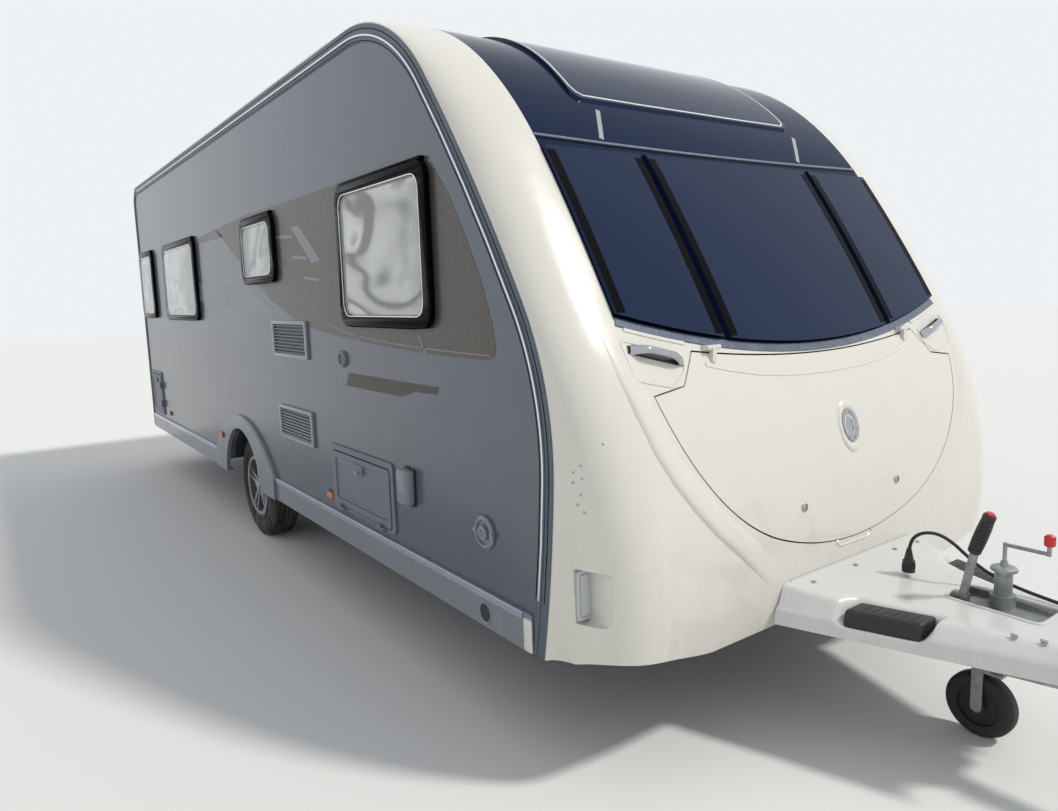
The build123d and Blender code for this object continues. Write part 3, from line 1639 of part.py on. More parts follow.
with BuildPart() as jockey_wheel:
    with BuildSketch(jockey_plane):
        Circle(jockey_wheel_radius)
    extrude(amount=jockey_wheel_width / 2, both=True)
    fillet(jockey_wheel.edges(), radius=jockey_wheel_width / 3)
    for offset_y in (-jockey_wheel_width / 2, jockey_wheel_width / 2 - jockey_dish):
        with BuildSketch(jockey_plane.offset(offset_y)):
            Circle(jockey_dish_radius)
            Circle(jockey_hub, mode=Mode.SUBTRACT)
        extrude(amount=jockey_dish, mode=Mode.SUBTRACT)
    with BuildSketch(jockey_plane.offset(-jockey_wheel_width)):
        Circle(jockey_pin + running_gap)
    extrude(amount=2 * jockey_wheel_width, mode=Mode.SUBTRACT)
save(jockey_wheel.part, "jockey_wheel")

# Corner steadies: brackets under the floor, and the folding legs
with BuildPart() as steady_brackets:
    for name, x, side, way in steadies:
        inner = steady_width / 2 + fork_gap
        for y in (side * steady_y - inner - fork_plate, side * steady_y + inner):
            add(
                box_between(
                    x - steady_depth, x + steady_depth, y, y + fork_plate,
                    steady_pivot_z - steady_depth, floor_bottom,
                )
            )
        pivot = (x, side * steady_y, steady_pivot_z)
        with BuildSketch(Plane(origin=pivot, x_dir=(1, 0, 0), z_dir=(0, -1, 0))):
            Circle(steady_pin)
        extrude(amount=inner + fork_plate, both=True)
save(steady_brackets.part, "steady_brackets")

for name, x, side, way in steadies:
    pivot = Plane(origin=(x, side * steady_y, steady_pivot_z), x_dir=(way, 0, 0), z_dir=(0, -way, 0))
    with BuildPart() as leg:
        with BuildSketch(pivot):
            with Locations((steady_length / 2, 0)):
                SlotCenterToCenter(steady_length, steady_depth)
        extrude(amount=steady_width / 2, both=True)
        with BuildSketch(pivot):
            with Locations((steady_length / 2, -steady_wall)):
                Rectangle(steady_length - 2 * steady_depth, steady_depth)
        extrude(amount=steady_width / 2 - steady_wall, both=True, mode=Mode.SUBTRACT)
        with BuildSketch(pivot):
            with Locations((steady_length, 0)):
                Circle(steady_foot[0])
        extrude(amount=steady_foot[1] / 2, both=True)
        with BuildSketch(pivot.offset(-steady_width)):
            Circle(steady_pin + running_gap)
        extrude(amount=2 * steady_width, mode=Mode.SUBTRACT)
    save(leg.part, name)

# Gas locker behind the lid, open at the front
with BuildPart() as locker_box:
    add(
        box_between(
            bulkhead_x, nose_x, -locker_half, locker_half, drawbar_notch_top, locker_top
        )
    )
    add(
        box_between(
            bulkhead_x + tub_wall, nose_x + wall, tub_wall - locker_half, locker_half - tub_wall,
            drawbar_notch_top + tub_wall, locker_top - tub_wall,
        ),
        mode=Mode.SUBTRACT,
    )
    add(front_middle(wall + gap), mode=Mode.INTERSECT)
save(locker_box.part, "gas_locker_box")

# Parked plug on the cover and its lead
plug_low = plug_base_z + plug_holder_height
with BuildPart() as lead_plug:
    with BuildSketch(Plane.XY.offset(plug_low)):
        with Locations((plug_x, plug_y)):
            Circle(plug_radius)
    extrude(amount=plug_height)
    fillet(lead_plug.edges().sort_by(Axis.Z)[-1], radius=plug_radius / 2)
save(lead_plug.part, "lead_plug")

lead_start = (plug_x, plug_y, plug_low + plug_height)
lead_points = [lead_start] + lead_route
lead_runs = [(Vector(*b) - Vector(*a)) for a, b in zip(lead_points, lead_points[1:])]
lead_radii = [
    lead_arc_share * min(before.length, after.length) / tan(radians(before.get_angle(after)) / 2)
    for before, after in zip(lead_runs, lead_runs[1:])
]
print("lead radii", [round(radius, 1) for radius in lead_radii])
with BuildPart() as lead:
    with BuildLine():
        lead_path = FilletPolyline(*lead_points, radius=lead_radii)
    with BuildSketch(Plane(origin=lead_start, z_dir=lead_path % 0)):
        Circle(lead_diameter / 2)
    sweep()
tube_volume = pi * (lead_diameter / 2) ** 2 * lead_path.length
print("lead length", round(lead_path.length, 1), "volume ratio", round(lead.part.volume / tube_volume, 5))
save(lead.part, "lead")

with BuildPart() as lead_gland:
    end, before = lead_points[-1], lead_points[-2]
    with BuildSketch(Plane(origin=end, z_dir=Vector(*end) - Vector(*before))):
        Circle(lead_diameter)
    extrude(amount=gland_length)
    with BuildSketch(Plane.XY.offset(end[2] - 2 * lead_diameter)):
        with Locations((end[0] + gland_length / 2, end[1])):
            Rectangle(gland_length / 2, lead_diameter)
    extrude(amount=2 * lead_diameter)
    add(cover_outer, mode=Mode.SUBTRACT)
save(lead_gland.part, "lead_gland")
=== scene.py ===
import json
from math import cos, pi, radians, sin

import bpy
from bpy.props import FloatProperty, FloatVectorProperty, IntProperty, PointerProperty
from mathutils import Matrix, Vector
from mathutils.bvhtree import BVHTree


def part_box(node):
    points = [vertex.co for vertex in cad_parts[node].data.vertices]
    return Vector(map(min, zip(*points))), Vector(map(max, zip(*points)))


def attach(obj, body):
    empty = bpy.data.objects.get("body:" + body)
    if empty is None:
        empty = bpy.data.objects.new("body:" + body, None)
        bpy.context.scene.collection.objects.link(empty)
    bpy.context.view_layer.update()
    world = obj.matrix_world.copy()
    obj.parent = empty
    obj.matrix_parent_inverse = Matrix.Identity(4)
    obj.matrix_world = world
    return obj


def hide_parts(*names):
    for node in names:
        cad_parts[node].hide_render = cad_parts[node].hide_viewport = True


bl_info = {
    "name": "Touring caravan looks",
    "version": (1, 0, 0),
    "blender": (4, 5, 0),
    "location": "3D View > Sidebar > Caravan",
    "description": "Dresses the packed touring caravan with its trim, glass, decals, wheels and finishes",
    "category": "Object",
}

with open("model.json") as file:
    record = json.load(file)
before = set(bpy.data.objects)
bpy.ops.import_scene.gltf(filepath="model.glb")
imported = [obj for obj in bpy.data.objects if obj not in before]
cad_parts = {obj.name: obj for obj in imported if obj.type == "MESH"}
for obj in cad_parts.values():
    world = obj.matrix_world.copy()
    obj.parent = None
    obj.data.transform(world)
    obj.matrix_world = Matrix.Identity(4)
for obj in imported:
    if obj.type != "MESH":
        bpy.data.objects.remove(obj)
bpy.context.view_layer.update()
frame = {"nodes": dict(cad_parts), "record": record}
NODES = frame["nodes"]

# Faces of the frame that the new pieces sit on
WALL = abs(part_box("offside_wall")[0].y)
REAR_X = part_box("rear_panel")[0].x
ROOF_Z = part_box("roof_panel")[1].z
SKIRT_Y = WALL + 0.010
UP, BACK = (0, 0, 1), (-1, 0, 0)
SIDES = (-1, 1)

SMOOTH_ANGLE = 35.0
MERGE = 1e-6
CORNER_STEPS = 6
# Degrees between two points of an arc
ARC_STEP = 2.0


class CaravanSizes(bpy.types.PropertyGroup):
    decal_proud: FloatProperty(name="Decal height", description="How far the decals stand off the wall",
                               default=0.0008, unit="LENGTH")
    border_width: FloatProperty(name="Pane border", description="Width of a side pane's black border",
                                default=0.046, unit="LENGTH")
    tread_blocks: IntProperty(name="Tread blocks", description="Blocks round each row of a tyre", default=64)
    lead_diameter: FloatProperty(name="Lead diameter", description="Diameter of the parked lead",
                                 default=0.011, unit="LENGTH")
    sun_strength: FloatProperty(name="Key light", description="Strength of the main light", default=2.1)
    sky_strength: FloatProperty(name="Sky light", description="Strength of the even light", default=0.62)


class CaravanColours(bpy.types.PropertyGroup):
    shell: FloatVectorProperty(name="Shell", description="Gloss moulded panels", subtype="COLOR", size=3,
                               default=(0.70, 0.685, 0.62))
    # Side skin: darker and bluer than the bare silver, painted shade and painted sky reflection of a wall in shade
    skin: FloatVectorProperty(name="Side skin", description="Silver side walls", subtype="COLOR", size=3,
                              default=(0.134, 0.152, 0.183))
    mask: FloatVectorProperty(name="Mask", description="Dark gloss mask", subtype="COLOR", size=3,
                              default=(0.007, 0.018, 0.052))
    bronze: FloatVectorProperty(name="Decal", description="Bronze grey decals", subtype="COLOR", size=3,
                                default=(0.088, 0.079, 0.069))
    floor: FloatVectorProperty(name="Floor", description="Studio floor", subtype="COLOR", size=3,
                               default=(0.78, 0.78, 0.77))


def sizes():
    return bpy.context.scene.caravan_sizes


def colours():
    return bpy.context.scene.caravan_colours


# Selecting and editing
def deselect():
    if bpy.context.object and bpy.context.object.mode != "OBJECT":
        bpy.ops.object.mode_set(mode="OBJECT")
    bpy.ops.object.select_all(action="DESELECT")


def only(piece):
    """Makes piece the one selected and active object."""
    deselect()
    piece.select_set(True)
    bpy.context.view_layer.objects.active = piece


def edit(piece, test=None, kind="FACE"):
    """Enters edit mode on piece with the faces or edges that pass test selected, or all of it."""
    only(piece)
    bpy.ops.object.mode_set(mode="EDIT")
    bpy.ops.mesh.select_mode(type=kind)
    bpy.ops.mesh.select_all(action="DESELECT" if test else "SELECT")
    if test:
        leave()
        corners = piece.data.vertices
        if kind == "FACE":
            for face in piece.data.polygons:
                face.select = test(face.center, face.normal)
        else:
            for line in piece.data.edges:
                a, b = (corners[i].co for i in line.vertices)
                line.select = test((a + b) / 2, (b - a).normalized())
        bpy.ops.object.mode_set(mode="EDIT")


def leave():
    bpy.ops.object.mode_set(mode="OBJECT")


def outwards(piece):
    """Turns every face of piece outwards."""
    edit(piece)
    bpy.ops.mesh.normals_make_consistent(inside=False)
    leave()


def apply_place(piece):
    only(piece)
    bpy.ops.object.transform_apply(location=True, rotation=True, scale=True)


def stand_at(piece, place, facing):
    """Turns a piece made about the Z axis to the way it faces, at its place."""
    piece.rotation_mode = "QUATERNION"
    piece.rotation_quaternion = Vector(facing).to_track_quat("Z", "Y")
    piece.location = place
    apply_place(piece)
    return piece


def to_mesh(piece):
    only(piece)
    bpy.ops.object.convert(target="MESH")
    return bpy.context.object


def apply_modifier(piece, name, kind, **settings):
    made = piece.modifiers.new(name, kind)
    for key, value in settings.items():
        setattr(made, key, value)
    only(piece)
    bpy.ops.object.modifier_apply(modifier=name)


def finished(parts, name, look, slot=None, body="caravan", angle=SMOOTH_ANGLE, keep_normals=False):
    """Joins parts into one piece, then names, shades, paints and hangs it. The slot argument is not used."""
    slot = slot or look
    only(parts[0])
    for part in parts:
        part.select_set(True)
    if len(parts) > 1:
        bpy.ops.object.join()
    piece = bpy.context.object
    piece.name = name
    piece.data.name = name
    apply_place(piece)
    if not keep_normals:
        outwards(piece)
    bpy.ops.object.shade_smooth_by_angle(angle=radians(angle))
    piece.data.materials.clear()
    piece.data.materials.append(paint(look))
    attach(piece, body)
    return piece


# Shapes
def block(low, high, bevel=0.0, segments=3):
    """A cube primitive between two corners, with its edges rounded in edit mode."""
    deselect()
    low, high = Vector(low), Vector(high)
    bpy.ops.mesh.primitive_cube_add(size=1, location=(low + high) / 2)
    piece = bpy.context.object
    piece.scale = high - low
    apply_place(piece)
    if bevel:
        edit(piece, kind="EDGE")
        bpy.ops.mesh.bevel(offset=bevel, segments=segments, affect="EDGES")
        leave()
    return piece


def disc(centre, radius, depth, facing, sides=48, bevel=0.0, steps=()):
    """A cylinder primitive whose front face is stepped by insets (how far in, how far out)."""
    deselect()
    bpy.ops.mesh.primitive_cylinder_add(radius=radius, depth=depth, vertices=sides)
    piece = bpy.context.object
    piece.location = (0, 0, depth / 2)
    apply_place(piece)
    near_front = depth * 0.9
    if bevel:
        edit(piece, lambda middle, way: middle.z > near_front and abs(way.z) < 0.1, "EDGE")
        bpy.ops.mesh.bevel(offset=bevel, segments=3, affect="EDGES")
        leave()
    edit(piece, lambda middle, normal: normal.z > 0.9 and middle.z > near_front)
    for inset, out in steps:
        bpy.ops.mesh.inset(thickness=inset, depth=0)
        if out:
            bpy.ops.mesh.extrude_region_move(TRANSFORM_OT_translate={"value": (0, 0, out)})
    leave()
    return stand_at(piece, centre, facing)


def turned(profile, centre, axis, sides=48):
    """A turned shape: a closed profile of (radius, height) pairs spun about an axis."""
    deselect()
    bpy.ops.mesh.primitive_circle_add(vertices=len(profile), radius=1)
    piece = bpy.context.object
    for corner, (radius, height) in zip(piece.data.vertices, profile, strict=True):
        corner.co = (radius, 0, height)
    edit(piece, kind="VERT")
    bpy.ops.mesh.spin(steps=sides, angle=2 * pi, center=(0, 0, 0), axis=UP)
    bpy.ops.mesh.select_all(action="SELECT")
    bpy.ops.mesh.remove_doubles(threshold=MERGE)
    bpy.ops.mesh.delete_loose(use_verts=True, use_edges=True, use_faces=False)
    bpy.ops.mesh.select_all(action="SELECT")
    bpy.ops.mesh.normals_make_consistent(inside=False)
    leave()
    return stand_at(piece, centre, axis)


def lay_grid(rows, around=False, capped=False):
    """A grid primitive laid on rows of points; closed around where a row's ends meet, capped if asked."""
    deselect()
    bpy.ops.mesh.primitive_grid_add(x_subdivisions=len(rows[0]) - 1, y_subdivisions=len(rows) - 1, size=1)
    piece = bpy.context.object
    places = [place for row in rows for place in row]
    for corner, place in zip(piece.data.vertices, places, strict=True):
        corner.co = place
    if around:
        edit(piece)
        bpy.ops.mesh.remove_doubles(threshold=MERGE)
        if capped:
            bpy.ops.mesh.fill_holes(sides=0)
        bpy.ops.mesh.normals_make_consistent(inside=False)
        leave()
    return piece


def round_bar(name, points, radius, roundness, resolution):
    """A round curve along a line of points."""
    curve = bpy.data.curves.new(name, "CURVE")
    curve.dimensions = "3D"
    curve.bevel_depth = radius
    curve.bevel_resolution = roundness
    curve.resolution_u = resolution
    curve.use_fill_caps = True
    line = curve.splines.new("NURBS")
    line.points.add(len(points) - 1)
    for point, place in zip(line.points, points):
        point.co = (*place, 1)
    line.order_u = 3
    line.use_endpoint_u = True
    bar = bpy.data.objects.new(name, curve)
    bpy.context.collection.objects.link(bar)
    return bar


def sheet(loops, thickness, place, bevel=0.0):
    """A flat plate from a closed outline, with holes from the other outlines, put in place by a matrix."""
    curve = bpy.data.curves.new("plate", "CURVE")
    curve.dimensions = "2D"
    curve.fill_mode = "BOTH"
    curve.extrude = thickness / 2
    curve.bevel_depth = bevel
    curve.bevel_resolution = 2
    for loop in loops:
        line = curve.splines.new("POLY")
        line.points.add(len(loop) - 1)
        for point, (u, v) in zip(line.points, loop):
            point.co = (u, v, 0, 1)
        line.use_cyclic_u = True
    plate = bpy.data.objects.new("plate", curve)
    bpy.context.collection.objects.link(plate)
    plate = to_mesh(plate)
    plate.data.transform(place)
    edit(plate)
    bpy.ops.mesh.remove_doubles(threshold=MERGE)
    bpy.ops.mesh.normals_make_consistent(inside=False)
    leave()
    return plate


def ribbon(line, width, proud, closed=False):
    """A flat bead along (place, normal) pairs that lies on the surface they came from."""
    rows = []
    count = len(line)
    half, edge, low = width / 2, min(width / 2, proud) * 0.5, proud * 0.4
    profile = ((-half, -proud), (-half, low), (-half + edge, proud), (half - edge, proud), (half, low),
               (half, -proud), (-half, -proud))
    for i, (place, normal) in enumerate(line):
        before = line[i - 1][0] if i or closed else place
        after = line[(i + 1) % count][0] if i < count - 1 or closed else place
        across = normal.cross((after - before).normalized()).normalized()
        rows.append([place + across * out + normal * up for out, up in profile])
    if closed:
        rows.append(rows[0])
    return lay_grid(rows, around=True, capped=not closed)


def spun_copies(piece, count, centre, axis):
    """Repeats a piece all the way round an axis."""
    edit(piece)
    bpy.ops.mesh.spin(steps=count - 1, dupli=True, angle=2 * pi * (count - 1) / count, center=centre, axis=axis)
    leave()
    return piece


# Outlines and lines of points
def spread(low, high, parts):
    """Evenly spaced values from low to high."""
    return [low + (high - low) * i / parts for i in range(parts + 1)]


def outline(points):
    """Points of a polygon with rounded corners. Each point is (u, v, radius)."""
    rounded_off = []
    for i, (u, v, radius) in enumerate(points):
        here = Vector((u, v))
        before = (Vector(points[i - 1][:2]) - here).normalized()
        after = (Vector(points[(i + 1) % len(points)][:2]) - here).normalized()
        start, end = here + before * radius, here + after * radius
        rounded_off += [start * (1 - t) ** 2 + here * 2 * t * (1 - t) + end * t ** 2
                        for t in spread(0, 1, CORNER_STEPS)]
    return rounded_off


def rounded(box, inset, radius):
    """A rectangle (u from, u to, v from, v to), moved in by one inset or by one for each way, with round corners."""
    u0, u1, v0, v1 = box
    du, dv = inset if isinstance(inset, tuple) else (inset, inset)
    return outline([(u0 + du, v0 + dv, radius), (u1 - du, v0 + dv, radius), (u1 - du, v1 - dv, radius),
                    (u0 + du, v1 - dv, radius)])


def around(u, v, half_u, half_v):
    """The rectangle about a middle."""
    return (u - half_u, u + half_u, v - half_v, v + half_v)


def in_between(points, step):
    """The same line of (a, b) points with more of them, about a step apart."""
    line = [Vector(points[0])]
    for start, end in zip(points, points[1:]):
        start, end = Vector(start), Vector(end)
        parts = max(1, int((end - start).length / step + 0.5))
        line += [start.lerp(end, i / parts) for i in range(1, parts + 1)]
    return line


def loop_points(points, step):
    """Points all round a closed outline, about a step apart."""
    return in_between([tuple(point) for point in points] + [tuple(points[0])], step)[:-1]


def straight(start, end, facing, parts):
    """A straight line of (place, normal) pairs."""
    start, end = Vector(start), Vector(end)
    return [(start.lerp(end, i / parts), Vector(facing)) for i in range(parts + 1)]


def arc_line(start, arcs, inset):
    """Points down a chain of arcs from the roof, moved in by inset. Each arc is (radius, turn)."""
    x, z = start[0], start[1] - inset
    heading = 0.0
    line = [(x, z)]
    for radius, turn in arcs:
        r = radius - inset
        for share in spread(0, turn, max(2, int(turn / ARC_STEP)))[1:]:
            line.append((x + r * (sin(radians(heading + share)) - sin(radians(heading))),
                         z - r * (cos(radians(heading)) - cos(radians(heading + share)))))
        x, z = line[-1]
        heading += turn
    return line


def flat_line(points, half):
    """Outline of a thin line of even width round a row of points."""
    left, right = [], []
    for i, point in enumerate(points):
        way = (Vector(points[min(len(points) - 1, i + 1)]) - Vector(points[max(0, i - 1)])).normalized()
        side = Vector((-way.y, way.x)) * half
        left.append(Vector(point) + side)
        right.append(Vector(point) - side)
    return left + right[::-1]


# Places on the caravan
def wall_place(side, out):
    """Matrix that puts a flat plate's (u, v) at (x, z) on a side wall, out from its face."""
    return Matrix(((1, 0, 0, 0), (0, 0, side, side * (WALL + out)), (0, 1, 0, 0), (0, 0, 0, 1)))


def end_place(x, facing):
    """Matrix that puts a flat plate's (u, v) at (y, z) and faces it forwards (1) or backwards (-1)."""
    return Matrix(((0, 0, facing, x), (1, 0, 0, 0), (0, 1, 0, 0), (0, 0, 0, 1)))


def top_place(z):
    return Matrix.Translation((0, 0, z))


def wall_block(side, box, inner, outer, bevel=0.0, segments=3):
    """A block over a rectangle (x from, x to, z from, z to) of a side wall, from inner to outer off its face."""
    x0, x1, z0, z1 = box
    near, far = sorted((side * (WALL + inner), side * (WALL + outer)))
    return block((x0, near, z0), (x1, far, z1), bevel, segments)


def wall_disc(x, z, radius, out, depth, steps=(), bevel=0.001, side=-1, sides=48):
    return disc((x, side * (WALL + out), z), radius, depth, (0, side, 0), sides, bevel, steps)


def wall_screw(side, x, z, out, radius=0.004):
    return wall_disc(x, z, radius, out - 0.001, 0.0025, [(radius * 0.55, -0.0008)], 0.0008, side, 12)


SURFACES = {}


def strike(origin, way, names):
    """Where a line first meets the named parts of the frame, and which way the surface faces there."""
    hits = []
    for name in names:
        if name not in SURFACES:
            mesh = NODES[name].data
            SURFACES[name] = BVHTree.FromPolygons(
                [corner.co for corner in mesh.vertices], [tuple(face.vertices) for face in mesh.polygons])
        place, normal, _, distance = SURFACES[name].ray_cast(Vector(origin), Vector(way).normalized())
        if place is not None:
            hits.append((distance, place, normal))
    if not hits:
        raise ValueError(f"nothing of {names} lies ahead of {tuple(origin)}")
    return min(hits, key=lambda hit: hit[0])[1:]


FAR = 4.0
PANEL, LID, MASK, PANES, ROOF_WINDOW = "front_panel", "locker_lid", "front_mask", "front_windows", "sunroof_glass"


def front(y, z, *names):
    return strike((FAR, y, z), (-1, 0, 0), names)


def front_bead(line, names, width, proud, closed=False):
    """A bead along a line of (y, z) points on the front."""
    return ribbon([front(y, z, *names) for y, z in line], width, proud, closed)


def top_bead(line, name, width, proud):
    """A bead along a line of (x, y) points, laid down from above."""
    return ribbon([strike((x, y, FAR), (0, 0, -1), (name,)) for x, y in line], width, proud)


# Shader node groups: inputs with their usual values, outputs, nodes (type, settings, socket values) and links
GREY, BROWN = (0.5, 0.5, 0.5, 1), (0.16, 0.14, 0.12, 1)
NOISE, RANGE = "TexNoise", "MapRange"
TIMES, COLOUR_MIX = {"operation": "MULTIPLY"}, {"data_type": "RGBA"}
GROUP_TABLE = {
    # Slow patches and fine specks that vary a colour and a roughness
    "surface_mottle": (
        {"Colour": GREY, "Second": (0.4, 0.4, 0.4, 1), "Patch Scale": 2.0, "Speck Scale": 90.0, "Amount": 0.3,
         "Roughness": 0.3, "Spread": 0.1},
        {"Colour": "Color", "Roughness": "Float", "Mask": "Float"},
        {"where": ("TexCoord", {}, {}),
         "patches": (NOISE, {}, {"Detail": 5.0}),
         "specks": (NOISE, {}, {"Detail": 3.0}),
         "both": ("Math", TIMES, {}),
         "range": (RANGE, {}, {"From Min": 0.12, "From Max": 0.42}),
         "amount": ("Math", TIMES, {}),
         "blend": ("Mix", COLOUR_MIX, {}),
         "rough": ("Math", {"operation": "MULTIPLY_ADD"}, {})},
        """where.Object > patches.Vector
        where.Object > specks.Vector
        inside.Patch Scale > patches.Scale
        inside.Speck Scale > specks.Scale
        patches.Fac > both.0
        specks.Fac > both.1
        both.0 > range.Value
        range.0 > amount.0
        inside.Amount > amount.1
        amount.0 > blend.Factor
        inside.Colour > blend.A
        inside.Second > blend.B
        range.0 > rough.0
        inside.Spread > rough.1
        inside.Roughness > rough.2
        blend.Result > outside.Colour
        rough.0 > outside.Roughness
        range.0 > outside.Mask"""),
    # Road dust that gathers low down, with thin streaks in it
    "road_dust": (
        {"Colour": GREY, "Dust": BROWN, "Top": 0.9, "Amount": 0.3},
        {"Colour": "Color", "Mask": "Float"},
        {"where": ("TexCoord", {}, {}),
         "split": ("SeparateXYZ", {}, {}),
         "fall": (RANGE, {}, {"From Min": 0.2, "To Min": 1.0, "To Max": 0.0}),
         "squeeze": ("Mapping", {}, {"Scale": (22.0, 22.0, 1.6)}),
         "streaks": (NOISE, {}, {"Scale": 1.0, "Detail": 6.0}),
         "lift": (RANGE, {}, {"From Min": 0.42, "From Max": 0.68}),
         "mask": ("Math", TIMES, {}),
         "amount": ("Math", TIMES, {}),
         "blend": ("Mix", COLOUR_MIX, {})},
        """where.Object > split.0
        split.Z > fall.Value
        inside.Top > fall.From Max
        where.Object > squeeze.Vector
        squeeze.0 > streaks.Vector
        streaks.Fac > lift.Value
        lift.0 > mask.0
        fall.0 > mask.1
        mask.0 > amount.0
        inside.Amount > amount.1
        amount.0 > blend.Factor
        inside.Colour > blend.A
        inside.Dust > blend.B
        blend.Result > outside.Colour
        amount.0 > outside.Mask"""),
    # Fine bump: moulded grain, or a rolled sheet's slow waves
    "fine_grain": (
        {"Scale": 300.0, "Strength": 0.1, "Wave Scale": 1.5, "Wave Strength": 0.0},
        {"Normal": "Vector"},
        {"where": ("TexCoord", {}, {}),
         "fine": (NOISE, {}, {"Detail": 2.0}),
         "slow": (NOISE, {}, {"Detail": 1.0}),
         "waves": ("Bump", {}, {"Distance": 0.02}),
         "grain": ("Bump", {}, {"Distance": 0.0004})},
        """where.Object > fine.Vector
        where.Object > slow.Vector
        inside.Scale > fine.Scale
        inside.Wave Scale > slow.Scale
        slow.Fac > waves.Height
        inside.Wave Strength > waves.Strength
        fine.Fac > grain.Height
        inside.Strength > grain.Strength
        waves.Normal > grain.Normal
        grain.Normal > outside.Normal"""),
}
GROUPS = {}
FINISHES = {}


def grow(tree, parts, plan, **made):
    """Adds nodes to a tree and links them; a line of the plan gives sockets by name or number."""
    for name, (kind, settings, values) in parts.items():
        made[name] = node = tree.nodes.new("ShaderNode" + kind)
        for key, value in settings.items():
            setattr(node, key, value)
        for socket, value in values.items():
            node.inputs[socket].default_value = value
    for line in plan.splitlines():
        (source, out), (target, into) = (end.strip().split(".") for end in line.split(">"))
        out, into = (int(key) if key.isdigit() else key for key in (out, into))
        tree.links.new(made[source].outputs[out], made[target].inputs[into])
    return made


def group(name):
    """The named shader node group, built the first time that it is asked for."""
    if name not in GROUPS:
        inputs, outputs, parts, plan = GROUP_TABLE[name]
        tree = GROUPS[name] = bpy.data.node_groups.new(name, "ShaderNodeTree")
        for socket, value in inputs.items():
            kind = "NodeSocketColor" if isinstance(value, tuple) else "NodeSocketFloat"
            tree.interface.new_socket(socket, in_out="INPUT", socket_type=kind).default_value = value
        for socket, kind in outputs.items():
            tree.interface.new_socket(socket, in_out="OUTPUT", socket_type="NodeSocket" + kind)
        grow(tree, parts, plan, inside=tree.nodes.new("NodeGroupInput"), outside=tree.nodes.new("NodeGroupOutput"))
    return GROUPS[name]


def shade(colour, share):
    return tuple(part * share for part in colour)


def finish(name, colour, second=None, rough=0.35, spread=0.12, metallic=0.0, coat=0.0, patch=1.5, speck=120.0,
           specular=0.5, amount=0.6, grain=300.0, bump=0.08, waves=0.0, wave_scale=1.5, dust=0.0, dust_top=0.8,
           see_through=0.0, ior=None):
    """A material with varied colour and roughness, fine bump and road dust."""
    material = bpy.data.materials.new(name)
    material.use_nodes = True
    shader = material.node_tree.nodes["Principled BSDF"]
    sockets = {"Metallic": metallic, "Specular IOR Level": specular, "Coat Weight": coat, "Coat Roughness": 0.04,
               "Transmission Weight": see_through}
    if ior:
        sockets["IOR"] = ior
    for socket, value in sockets.items():
        shader.inputs[socket].default_value = value
    parts = {
        "mottle": ("Group", {"node_tree": group("surface_mottle")}, {
            "Colour": (*colour, 1), "Second": (*(second or shade(colour, 0.8)), 1), "Patch Scale": patch,
            "Speck Scale": speck, "Amount": amount, "Roughness": rough, "Spread": spread}),
        "bumps": ("Group", {"node_tree": group("fine_grain")}, {
            "Scale": grain, "Strength": bump, "Wave Scale": wave_scale, "Wave Strength": waves}),
    }
    plan = "mottle.Roughness > shader.Roughness\nbumps.Normal > shader.Normal\n"
    if dust:
        parts["road"] = ("Group", {"node_tree": group("road_dust")}, {"Top": dust_top, "Amount": dust})
        plan += "mottle.Colour > road.Colour\nroad.Colour > shader.Base Color"
    else:
        plan += "mottle.Colour > shader.Base Color"
    grow(material.node_tree, parts, plan, shader=shader)
    return material


def glass(colour, **changes):
    """Values of tinted acrylic: mostly a deep glossy surface."""
    usual = dict(colour=colour, rough=0.03, spread=0.02, coat=1.0, amount=0.25, bump=0.0, wave_scale=2.2, ior=1.49)
    return {**usual, **changes}


